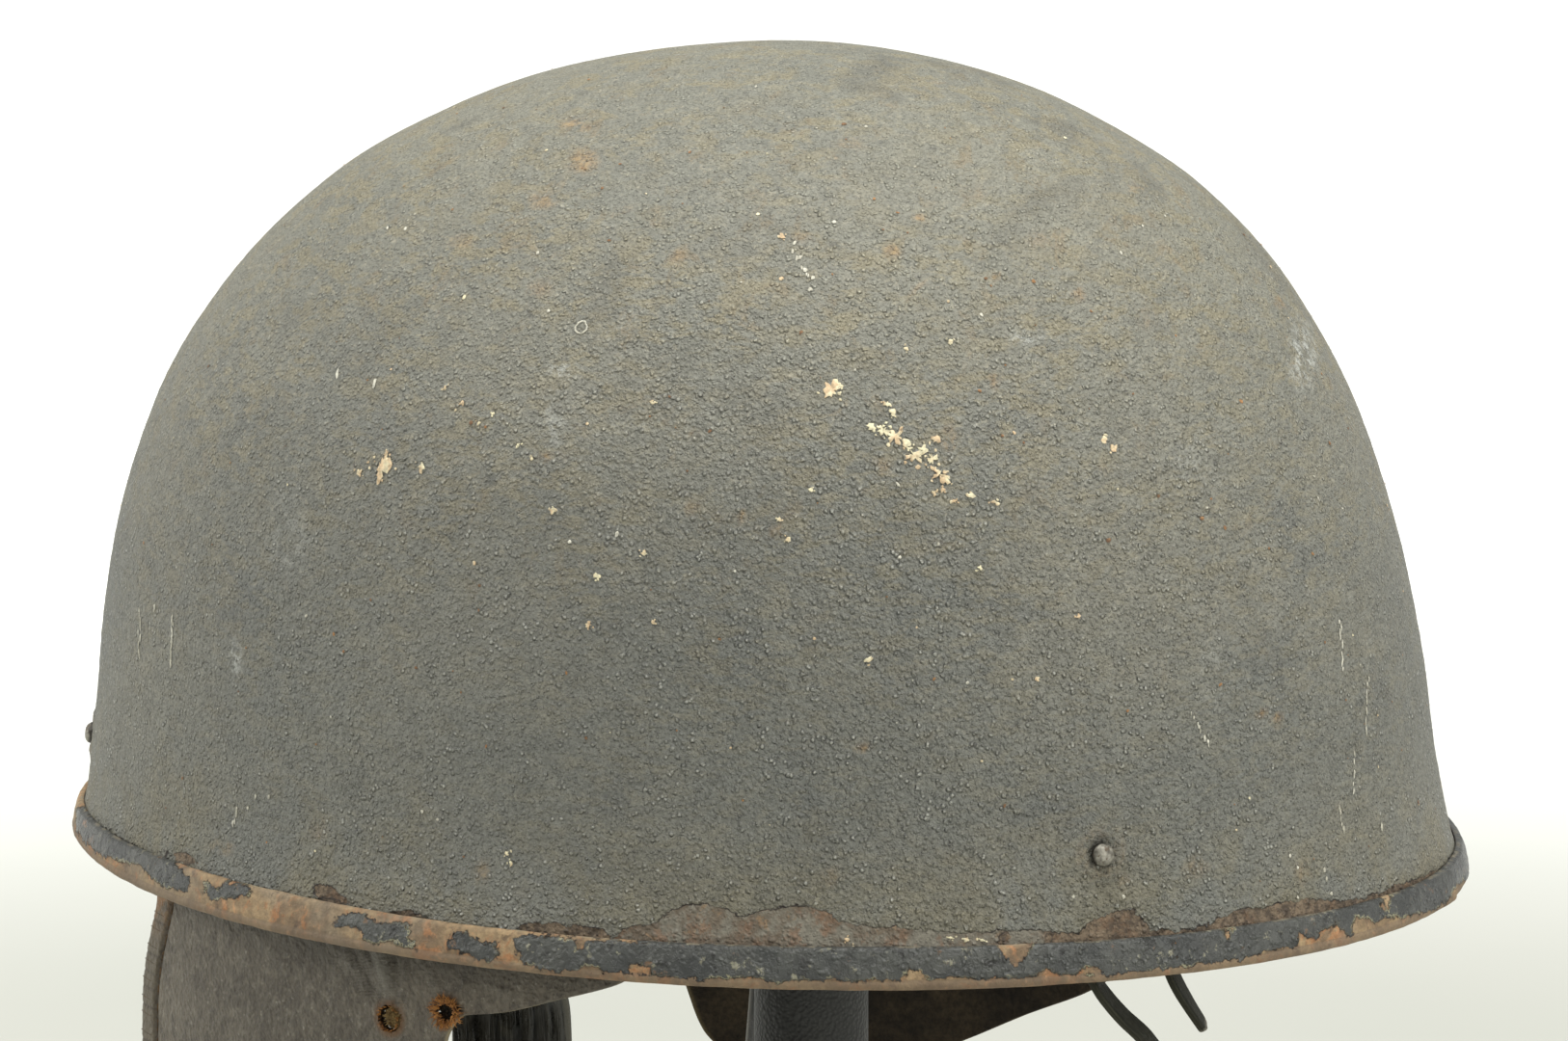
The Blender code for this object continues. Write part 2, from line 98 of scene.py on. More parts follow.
# ================================================================= sizes shared with the solids
RIM_Z = 0.205
AXIS_Y = 0.0072
SQUARENESS = 1.95
STEEL = 0.0012
CROWN_H = 157.5
BAND_H = 8.4
BAND_INNER_H = 6.0
BAND_WALL = 1.3
BAND_JOINT_DEG = 96.0
BAND_JOINT_GAP = 0.6
LEATHER_MM = 2.6
LEATHER_SECTION_H = 38.0
LEATHER_INSET = 1.75
STRAP_W, STRAP_T = 0.026, 0.0022
LACE_T = 0.0015
POST_D, POST_Y = 0.0226, 0.0122
BASE_D, BASE_H = 0.170, 0.014
PAD_H, PAD_DROP = 134.0, 0.0024
GAP = 0.0003

SECTIONS_MM = [
    # height, front, rear, half_width
    (0.0, 149.2, 134.8, 116.0),
    (9.0, 147.0, 132.2, 113.6),
    (16.0, 146.3, 130.6, 112.2),
    (25.0, 145.2, 128.7, 111.2),
    (40.0, 143.8, 126.5, 110.2),
    (60.0, 140.2, 122.3, 108.2),
    (85.0, 131.3, 114.1, 103.4),
    (110.0, 115.2, 100.3, 92.0),
    (130.0, 93.9, 82.4, 75.0),
    (144.0, 68.6, 59.5, 55.0),
    (153.0, 41.0, 36.4, 32.5),
    (CROWN_H, 0.0, 0.0, 0.0),
]
RIVETS = [
    # name, side, angle_deg, height_mm
    ("rivet_front_left", 1, -70.4, 18.0),
    ("rivet_rear_left", 1, 54.6, 22.1),
    ("rivet_front_right", -1, -70.4, 18.0),
    ("rivet_rear_right", -1, 54.6, 22.1),
]
FLAP_LEFT_MM = [
    # height, front_y, rear_y, lean_front, lean_rear
    (34.0, -135.0, 108.0, 0.0, 0.0),
    (24.0, -136.8, 110.0, 0.0, 0.0),
    (12.0, -135.0, 108.5, 0.0, 0.0),
    (7.0, -120.0, 92.0, 0.0, 0.0),
    (3.0, -102.0, 36.0, 0.0, 0.0),
    (0.0, -98.6, 24.5, 0.0, 0.0),
    (-3.4, -98.2, 18.4, 0.1, 0.1),
    (-7.0, -98.5, 7.6, 0.3, 0.2),
    (-10.6, -99.8, -3.8, 0.5, 0.3),
    (-12.4, -100.4, -12.6, 0.6, 0.3),
    (-17.8, -102.4, -16.4, 0.8, 0.2),
    (-26.0, -104.2, -18.0, 1.0, 0.0),
    (-35.0, -104.8, -21.0, 1.0, -0.6),
    (-46.0, -102.5, -26.5, 0.6, -1.6),
    (-56.0, -96.0, -34.5, -0.4, -2.6),
    (-64.0, -86.5, -45.0, -1.8, -3.6),
    (-68.5, -76.5, -55.5, -2.8, -4.2),
]
FLAP_RIGHT_MM = [
    # height, front_y, rear_y, lean_front, lean_rear
    (34.0, -135.0, 108.0, 0.0, 0.0),
    (24.0, -136.8, 110.0, 0.0, 0.0),
    (12.0, -135.0, 108.5, 0.0, 0.0),
    (7.0, -120.0, 95.0, 0.0, 0.0),
    (3.0, -102.0, 62.0, 0.0, 0.0),
    (0.0, -98.0, 53.0, 0.0, 0.0),
    (-8.0, -95.5, 48.0, 0.1, 0.1),
    (-18.0, -91.5, 44.0, 0.2, 0.2),
    (-30.0, -84.5, 39.0, 0.2, 0.2),
    (-42.0, -77.5, 31.0, 0.2, 0.2),
    (-51.8, -72.8, 18.8, 0.0, 0.2),
    (-59.7, -70.5, 2.4, 0.0, 0.2),
    (-66.5, -68.2, -11.0, -0.2, 0.2),
    (-72.5, -64.0, -24.0, -0.4, 0.0),
    (-76.5, -56.5, -36.0, -0.6, -0.2),
]
HEARING_HOLES_MM = [
    # node, y from the axis line, height, radius, how torn its outline is
    ("flap_left", -29.0, -15.0, 2.65, 0.05),
    ("flap_left", -15.8, -11.8, 1.70, 0.26),
    ("flap_right", -30.3, -20.0, 2.0, 0.06),
    ("flap_right", -12.0, -20.0, 2.0, 0.06),
]
STRAP_LEFT_MM = [
    # x, y, height
    (96.0, -26.0, 26.0),
    (96.2, -25.0, 14.0),
    (94.5, -23.0, 3.0),
    (86.0, -20.5, -5.0),
    (74.0, -18.9, -9.5),
    (67.6, -18.4, -18.0),
    (66.0, -18.4, -30.0),
    (65.0, -19.0, -50.0),
    (62.0, -20.0, -78.0),
    (54.0, -21.0, -108.0),
    (38.0, -21.6, -132.0),
    (18.0, -22.0, -144.5),
]
STRAP_BOTTOM_MM = (0.0, -22.0, -148.0)
STRAP_RIGHT_Y_SHIFT_MM = -3.2
BUCKLE_HEIGHT = -84.0
BUCKLE_W, BUCKLE_L, BUCKLE_T = 0.034, 0.020, 0.0062
LACES_MM = {
    # node: (width in m, points from inside the rear left rivet down; x, y, height)
    "lace_long": (0.0062, [
        (66.4, 97.2, 15.5), (66.0, 97.6, 12.0), (65.3, 98.6, 7.5), (65.6, 100.6, 2.0),
        (65.4, 103.1, -3.1), (63.6, 104.8, -6.6), (61.4, 106.7, -9.9), (57.6, 109.9, -14.9),
        (54.6, 112.0, -21.0), (52.6, 113.0, -30.0), (51.4, 112.8, -42.0), (51.0, 111.8, -55.0),
        (51.0, 110.6, -68.0),
    ]),
    "lace_short": (0.0049, [
        (54.9, 107.2, 18.0), (54.4, 107.6, 13.0), (53.4, 108.6, 8.0), (53.6, 111.0, 2.0),
        (53.2, 113.2, -3.8), (50.8, 114.9, -8.7), (47.9, 116.8, -13.7),
    ]),
}


def monotone(xs, ys, x):
    """Smooth curve through the points that never overshoots between them."""
    n = len(xs)
    slope = [(ys[i + 1] - ys[i]) / (xs[i + 1] - xs[i]) for i in range(n - 1)]
    tangent = [slope[0]]
    for i in range(1, n - 1):
        a, b = slope[i - 1], slope[i]
        tangent.append(0.0 if a * b <= 0 else 2 * a * b / (a + b))
    tangent.append(slope[-1])
    x = min(max(x, xs[0]), xs[-1])
    i = max(j for j in range(n - 1) if xs[j] <= x)
    h = xs[i + 1] - xs[i]
    t = (x - xs[i]) / h
    return (
        (2 * t**3 - 3 * t**2 + 1) * ys[i]
        + (t**3 - 2 * t**2 + t) * h * tangent[i]
        + (-2 * t**3 + 3 * t**2) * ys[i + 1]
        + (t**3 - t**2) * h * tangent[i + 1]
    )


# The reach at every 0.1 mm of height, so that whole arrays can be looked up at once.
REACH_H = np.linspace(0.0, CROWN_H, 1576)
REACH_SQUARES = [
    np.array([
        max(monotone([r[0] for r in SECTIONS_MM], [r[c] ** 2 for r in SECTIONS_MM], h), 0.0)
        for h in REACH_H
    ])
    for c in (1, 2, 3)
]


def reach(h):
    return [np.sqrt(np.interp(h, REACH_H, sq)) for sq in REACH_SQUARES]


def plan_points(h, angle, inset=0.0):
    """Points of the plan outline, metres; h and inset in mm, angle 0 is the wearer's left."""
    h, angle, inset = np.broadcast_arrays(
        np.asarray(h, float), np.asarray(angle, float), np.asarray(inset, float)
    )
    front, rear, half = reach(h)
    c, s = np.cos(angle), np.sin(angle)
    power = 2.0 / SQUARENESS
    ly = np.where(s < 0, front, rear)
    x = half * np.sign(c) * np.abs(c) ** power
    y = ly * np.sign(s) * np.abs(s) ** power
    hs, ls = np.maximum(half, 1e-6), np.maximum(ly, 1e-6)
    nx = np.sign(c) * np.abs(x / hs) ** (SQUARENESS - 1) / hs
    ny = np.sign(s) * np.abs(y / ls) ** (SQUARENESS - 1) / ls
    length = np.maximum(np.hypot(nx, ny), 1e-9)
    x = x - inset * nx / length
    y = y - inset * ny / length
    return np.stack([x * MM, AXIS_Y + y * MM, RIM_Z + h * MM], axis=-1)


def shell_normals(h, angle):
    h = np.asarray(h, float)
    up = plan_points(np.minimum(h + 0.4, CROWN_H), angle) - plan_points(np.maximum(h - 0.4, 0), angle)
    along = plan_points(h, angle + 0.01) - plan_points(h, angle - 0.01)
    n = np.cross(along, up)
    n /= np.maximum(np.linalg.norm(n, axis=-1, keepdims=True), 1e-12)
    return n


def plan_angle_of(height_mm, angle_deg):
    lo, hi = -math.pi / 2, math.pi / 2
    want = math.radians(angle_deg)
    for _ in range(50):
        mid = (lo + hi) / 2
        p = plan_points(height_mm, mid)
        if math.atan2(p[1] - AXIS_Y, p[0]) < want:
            lo = mid
        else:
            hi = mid
    return (lo + hi) / 2


def rivet_place(side, angle_deg, height_mm):
    angle = plan_angle_of(height_mm, angle_deg)
    p, n = plan_points(height_mm, angle), shell_normals(height_mm, angle)
    return Vector((side * p[0], p[1], p[2])), Vector((side * n[0], n[1], n[2]))


def level(points):
    """Below 0 inside the shell, above 0 outside it."""
    x, y = points[..., 0] / MM, (points[..., 1] - AXIS_Y) / MM
    h = (points[..., 2] - RIM_Z) / MM
    front, rear, half = reach(np.clip(h, 0, CROWN_H - 0.01))
    ly = np.where(y < 0, front, rear)
    value = (np.abs(x) / half) ** SQUARENESS + (np.abs(y) / ly) ** SQUARENESS - 1
    return np.where((h < 0) | (h > CROWN_H), 1.0, value)


def level_normal(p):
    e = 0.0003
    g = np.array([
        float(level(p + e * a) - level(p - e * a)) for a in np.eye(3)
    ])
    return g / max(np.linalg.norm(g), 1e-12)


def on_shell(px, py):
    """Where the line of sight through a photo pixel meets the shell, or None."""
    d = ray(px, py)
    ts = np.arange(0.95, 1.42, 0.0015)
    values = level(EYE + ts[:, None] * d)
    inside = np.nonzero(values < 0)[0]
    if not len(inside) or inside[0] == 0:
        return None
    lo, hi = ts[inside[0] - 1], ts[inside[0]]
    for _ in range(26):
        mid = (lo + hi) / 2
        if level(EYE + mid * d) < 0:
            hi = mid
        else:
            lo = mid
    return EYE + hi * d


def smoothstep(x, lo, hi):
    t = np.clip((np.asarray(x, float) - lo) / (hi - lo), 0, 1)
    return t * t * (3 - 2 * t)


def noise3(points, scale, offset=0.0):
    """Perlin noise of points in metres; scale is features per metre."""
    q = np.asarray(points) * scale + offset
    flat = q.reshape(-1, 3)
    out = np.fromiter((noise.noise(Vector(v)) for v in flat.tolist()), float, len(flat))
    return out.reshape(q.shape[:-1])


def outline_distance(points, outline):
    """Signed distance to a closed outline, above 0 inside it, same unit as the points."""
    pts = np.asarray(points, float)
    poly = np.asarray(outline, float)
    nxt = np.roll(poly, -1, axis=0)
    best = np.full(len(pts), 1e9)
    inside = np.zeros(len(pts), bool)
    for a, b in zip(poly, nxt):
        e = b - a
        w = pts - a
        t = np.clip((w @ e) / max(e @ e, 1e-9), 0, 1)
        best = np.minimum(best, np.linalg.norm(w - t[:, None] * e, axis=1))
        cross = e[0] * w[:, 1] - e[1] * w[:, 0]
        up = (a[1] <= pts[:, 1]) & (b[1] > pts[:, 1]) & (cross > 0)
        down = (a[1] > pts[:, 1]) & (b[1] <= pts[:, 1]) & (cross < 0)
        inside ^= up | down
    return np.where(inside, best, -best)


def line_distance(points, line):
    """Distance to an open line, and the share of the way along it."""
    pts = np.asarray(points, float)
    line = np.asarray(line, float)
    best = np.full(len(pts), 1e9)
    share = np.zeros(len(pts))
    side = np.zeros(len(pts))
    for k, (a, b) in enumerate(zip(line, line[1:])):
        e = b - a
        w = pts - a
        t = np.clip((w @ e) / max(e @ e, 1e-9), 0, 1)
        d = np.linalg.norm(w - t[:, None] * e, axis=1)
        nearer = d < best
        best = np.where(nearer, d, best)
        share = np.where(nearer, (k + t) / (len(line) - 1), share)
        side = np.where(nearer, np.sign(e[0] * w[:, 1] - e[1] * w[:, 0]), side)
    return best, share, side


# ================================================================= materials
class Shader:
    """One material; each method adds a node and returns its output."""

    def __init__(self, name, roughness=0.6, metallic=0.0, specular=0.5):
        self.mat = bpy.data.materials.new(name)
        self.mat.use_nodes = True
        self.tree = self.mat.node_tree
        self.bsdf = self.tree.nodes["Principled BSDF"]
        self.bsdf.inputs["Roughness"].default_value = roughness
        self.bsdf.inputs["Metallic"].default_value = metallic
        self.bsdf.inputs["Specular IOR Level"].default_value = specular
        self.coords = self.tree.nodes.new("ShaderNodeTexCoord").outputs["Object"]

    def put(self, socket, value):
        if isinstance(value, bpy.types.NodeSocket):
            self.tree.links.new(value, socket)
        elif isinstance(value, tuple) and len(value) == 3 and socket.type == "RGBA":
            socket.default_value = (*value, 1.0)
        else:
            socket.default_value = value

    def set(self, name, value):
        self.put(self.bsdf.inputs[name], value)

    def stretched(self, x, y, z):
        n = self.tree.nodes.new("ShaderNodeMapping")
        self.put(n.inputs["Vector"], self.coords)
        n.inputs["Scale"].default_value = (x, y, z)
        return n.outputs[0]

    def noise(self, scale, detail=3.0, rough=0.55, distort=0.0, vector=None):
        n = self.tree.nodes.new("ShaderNodeTexNoise")
        self.put(n.inputs["Vector"], vector or self.coords)
        n.inputs["Scale"].default_value = scale
        n.inputs["Detail"].default_value = detail
        n.inputs["Roughness"].default_value = rough
        n.inputs["Distortion"].default_value = distort
        return n.outputs[0]

    def cells(self, scale, feature="SMOOTH_F1", smooth=0.5, random=1.0, vector=None):
        n = self.tree.nodes.new("ShaderNodeTexVoronoi")
        n.feature = feature
        self.put(n.inputs["Vector"], vector or self.coords)
        n.inputs["Scale"].default_value = scale
        if feature == "SMOOTH_F1":
            n.inputs["Smoothness"].default_value = smooth
        n.inputs["Randomness"].default_value = random
        return n.outputs[0]

    def field(self, name):
        n = self.tree.nodes.new("ShaderNodeAttribute")
        n.attribute_name = name
        return n.outputs["Fac"]

    def join(self, x, y, z):
        n = self.tree.nodes.new("ShaderNodeCombineXYZ")
        for socket, value in zip(n.inputs, (x, y, z)):
            self.put(socket, value)
        return n.outputs[0]

    def height(self):
        n = self.tree.nodes.new("ShaderNodeSeparateXYZ")
        self.put(n.inputs[0], self.coords)
        return n.outputs[2]

    def math(self, op, a, b=0.0, clamp=False):
        n = self.tree.nodes.new("ShaderNodeMath")
        n.operation = op
        n.use_clamp = clamp
        self.put(n.inputs[0], a)
        self.put(n.inputs[1], b)
        return n.outputs[0]

    def span(self, value, lo, hi, a=0.0, b=1.0):
        n = self.tree.nodes.new("ShaderNodeMapRange")
        n.interpolation_type = "SMOOTHSTEP"
        self.put(n.inputs["Value"], value)
        for key, v in (("From Min", lo), ("From Max", hi), ("To Min", a), ("To Max", b)):
            n.inputs[key].default_value = v
        return n.outputs[0]

    def mix(self, factor, a, b):
        n = self.tree.nodes.new("ShaderNodeMix")
        n.data_type = "RGBA"
        self.put(n.inputs[0], factor)
        self.put(n.inputs[6], a)
        self.put(n.inputs[7], b)
        return n.outputs[2]

    def scale_colour(self, colour, value):
        """Colour times a plain value."""
        n = self.tree.nodes.new("ShaderNodeMix")
        n.data_type = "RGBA"
        n.blend_type = "MULTIPLY"
        n.inputs[0].default_value = 1.0
        self.put(n.inputs[6], colour)
        self.put(n.inputs[7], self.join(value, value, value))
        return n.outputs[2]

    def bump(self, height, distance, strength=1.0, normal=None):
        n = self.tree.nodes.new("ShaderNodeBump")
        n.inputs["Strength"].default_value = strength
        n.inputs["Distance"].default_value = distance
        self.put(n.inputs["Height"], height)
        if normal is not None:
            self.put(n.inputs["Normal"], normal)
        return n.outputs[0]


def rust_colour(s, dark=(0.16, 0.085, 0.048), mid=(0.34, 0.215, 0.125), orange=(0.42, 0.19, 0.075)):
    a = s.noise(90, 5, 0.62)
    b = s.noise(260, 4, 0.6)
    colour = s.mix(s.span(a, 0.36, 0.62), dark, mid)
    return s.mix(s.math("MULTIPLY", s.span(b, 0.54, 0.68), 0.65), colour, orange)


def shell_material():
    s = Shader("worn_rough_paint", roughness=0.52)
    z = s.height()
    crown = s.span(z, RIM_Z + 0.060, RIM_Z + 0.145)
    blotch = s.noise(14, 4, 0.55)
    patch = s.noise(42, 5, 0.62, 0.4)
    speck = s.noise(230, 5, 0.65)
    fine = s.noise(980, 3, 0.6, 0.2)
    grain = s.noise(1900, 3, 0.65)
    colour = s.mix(s.span(blotch, 0.34, 0.66), (0.185, 0.189, 0.168), (0.227, 0.223, 0.187))
    colour = s.mix(s.math("MULTIPLY", s.span(patch, 0.54, 0.70), 0.55), colour, (0.142, 0.149, 0.141))
    # yellow-brown dust that lies along the rim
    rim_dust = s.math("MULTIPLY", s.span(z, RIM_Z + 0.006, RIM_Z + 0.034, 0.55, 0.0), s.span(patch, 0.40, 0.58))
    colour = s.mix(rim_dust, colour, (0.215, 0.188, 0.115))
    # brown and ochre dust, most of it near the crown, in short level streaks there
    streak = s.noise(150, 5, 0.68, 0.3, vector=s.stretched(1.0, 1.0, 2.6))
    colour = s.mix(s.math("MULTIPLY", crown, 0.40), colour, (0.250, 0.243, 0.186))
    dust = s.math("MULTIPLY", s.span(streak, 0.45, 0.60), s.span(patch, 0.34, 0.58, 0.25, 1.0))
    dust = s.math("MULTIPLY", dust, s.span(z, RIM_Z + 0.03, RIM_Z + 0.13, 0.24, 0.70))
    colour = s.mix(dust, colour, (0.275, 0.240, 0.150))
    mote = s.span(s.noise(560, 5, 0.72, vector=s.stretched(1.0, 1.0, 1.7)), 0.55, 0.66)
    colour = s.mix(s.math("MULTIPLY", mote, s.span(z, RIM_Z + 0.02, RIM_Z + 0.12, 0.20, 0.70)), colour, (0.335, 0.312, 0.238))
    pit = s.span(s.noise(470, 5, 0.72, 0.4, vector=s.stretched(1.0, 1.0, 1.6)), 0.56, 0.67)
    colour = s.mix(s.math("MULTIPLY", pit, 0.48), colour, (0.085, 0.085, 0.076))
    dark = s.math("MULTIPLY", s.span(s.noise(26, 4, 0.6, 0.8), 0.54, 0.66), crown)
    colour = s.mix(s.math("MULTIPLY", dark, 0.45), colour, (0.125, 0.120, 0.098))
    tarnish = s.math("MULTIPLY", s.span(s.noise(110, 5, 0.7, 0.5), 0.57, 0.69), s.span(z, RIM_Z + 0.03, RIM_Z + 0.13, 0.08, 0.50))
    colour = s.mix(tarnish, colour, (0.250, 0.192, 0.110))
    orange = s.math("MULTIPLY", s.span(s.noise(70, 6, 0.7, 0.6), 0.64, 0.73), crown)
    colour = s.mix(s.math("MULTIPLY", orange, 0.40), colour, (0.33, 0.205, 0.095))

    # grit in the paint: lumps about 1 mm across that stand apart, with finer ones between them
    dots = s.span(s.cells(790, "F1"), 0.10, 0.50, 1.0, 0.0)
    small = s.span(s.cells(1350, "F1"), 0.10, 0.46, 1.0, 0.0)
    there = s.span(s.noise(330, 3, 0.6), 0.34, 0.56)
    few = s.span(s.noise(95, 3, 0.55), 0.36, 0.60, 0.45, 1.0)
    lumps = s.math("MULTIPLY", s.math("MULTIPLY", dots, there), few)
    raised = s.math("ADD", lumps, s.math("MULTIPLY", small, 0.36))
    # painted shade and highlight: the lump tops are lighter and the hollows between them darker
    colour = s.scale_colour(colour, s.span(raised, 0.10, 0.95, 0.80, 1.30))
    # pale lump tops low on the shell: partly paint rubbed off, partly a painted highlight
    low_part = s.span(z, RIM_Z + 0.04, RIM_Z + 0.12, 1.0, 0.25)
    rubbed_tops_and_highlight = s.math("MULTIPLY", s.math("MULTIPLY", s.span(lumps, 0.50, 0.85), s.span(speck, 0.43, 0.52)), low_part)
    colour = s.mix(s.math("MULTIPLY", rubbed_tops_and_highlight, 0.85), colour, (0.39, 0.39, 0.345))
    colour = s.scale_colour(colour, s.span(grain, 0.3, 0.7, 0.80, 1.22))
    colour = s.scale_colour(colour, s.span(speck, 0.34, 0.66, 0.93, 1.07))

    # soft stains, pale scuffs, and a dark ring round each rivet head that is partly dirt and partly painted shade in
    # the joint
    stain = s.math("MULTIPLY", s.field("stain"), s.span(speck, 0.36, 0.58), clamp=True)
    colour = s.mix(stain, colour, s.mix(s.span(fine, 0.4, 0.6), (0.18, 0.120, 0.062), (0.36, 0.24, 0.110)))
    scuff = s.math("MULTIPLY", s.field("scuff"), s.span(s.noise(420, 4, 0.7), 0.46, 0.60), clamp=True)
    colour = s.mix(scuff, colour, (0.44, 0.45, 0.42))
    colour = s.mix(s.field("rivet_ring_dirt_and_shade"), colour, (0.035, 0.031, 0.026))

    # flaked places: the bare field is in mm inside the edge of the flake
    edge = s.math("ADD", s.math("MULTIPLY", s.math("SUBTRACT", s.noise(300, 5, 0.62), 0.5), 3.0),
                  s.math("MULTIPLY", s.math("SUBTRACT", s.noise(900, 3, 0.6), 0.5), 1.4))
    bare_mm = s.math("ADD", s.field("bare"), edge)
    bare = s.span(bare_mm, -0.04, 0.08)
    under = s.mix(s.span(s.noise(130, 5, 0.65), 0.42, 0.58), (0.128, 0.100, 0.072), (0.186, 0.172, 0.138))
    under = s.mix(s.math("MULTIPLY", s.span(s.noise(210, 5, 0.7), 0.50, 0.62), 0.75), under, (0.180, 0.108, 0.066))
    under = s.mix(s.math("MULTIPLY", s.span(s.noise(300, 5, 0.7, 0.4), 0.57, 0.66), 0.7), under, (0.255, 0.165, 0.090))
    under = s.scale_colour(under, s.span(fine, 0.35, 0.65, 0.86, 1.12))
    brown_mm = s.math("ADD", s.field("brown"), edge)
    brown = s.span(brown_mm, -0.04, 0.08)
    rusty = s.mix(s.span(s.noise(520, 5, 0.74), 0.40, 0.60), (0.066, 0.048, 0.033), (0.178, 0.132, 0.088))
    rusty = s.mix(s.math("MULTIPLY", s.span(s.noise(240, 5, 0.7), 0.52, 0.64), 0.35), rusty, (0.190, 0.105, 0.055))
    colour = s.mix(bare, colour, under)
    colour = s.mix(brown, colour, rusty)
    rim = s.math("MULTIPLY", s.span(bare_mm, -0.30, -0.02), s.span(bare_mm, 0.05, 0.22, 1.0, 0.0))
    rim2 = s.math("MULTIPLY", s.span(brown_mm, -0.28, -0.02), s.span(brown_mm, 0.05, 0.22, 1.0, 0.0))
    rims = s.math("MAXIMUM", rim, rim2)
    rims = s.math("MULTIPLY", rims, s.span(s.noise(150, 3), 0.42, 0.56))
    colour = s.mix(rims, colour, (0.030, 0.022, 0.017))
    s.set("Base Color", colour)

    flat = s.math("MAXIMUM", bare, brown)
    keep = s.math("SUBTRACT", 1.0, s.math("MULTIPLY", flat, 0.66))
    s.set("Roughness", s.math("ADD", s.span(raised, 0.1, 0.9, 0.58, 0.29), s.math("MULTIPLY", flat, 0.24)))
    size = s.math("MULTIPLY", s.span(z, RIM_Z + 0.05, RIM_Z + 0.15, 1.0, 0.55), keep)
    n1 = s.bump(s.math("MULTIPLY", s.math("ADD", raised, s.math("MULTIPLY", fine, 0.9)), size), 0.00105)
    n2 = s.bump(s.math("MULTIPLY", grain, keep), 0.00024, normal=n1)
    n3 = s.bump(s.math("SUBTRACT", 1.0, flat), 0.00024, normal=n2)
    s.set("Normal", n3)
    return s.mat


def lining_side_material():
    """The unseen inner face of the steel: dull dark paint with rust blooms."""
    s = Shader("inner_paint", roughness=0.7)
    a = s.noise(30, 5, 0.6)
    b = s.noise(140, 5, 0.65)
    colour = s.mix(s.span(a, 0.35, 0.65), (0.060, 0.060, 0.054), (0.095, 0.088, 0.072))
    colour = s.mix(s.math("MULTIPLY", s.span(b, 0.56, 0.70), 0.8), colour, (0.20, 0.11, 0.058))
    s.set("Base Color", colour)
    s.set("Normal", s.bump(s.noise(500, 3), 0.0002))
    return s.mat


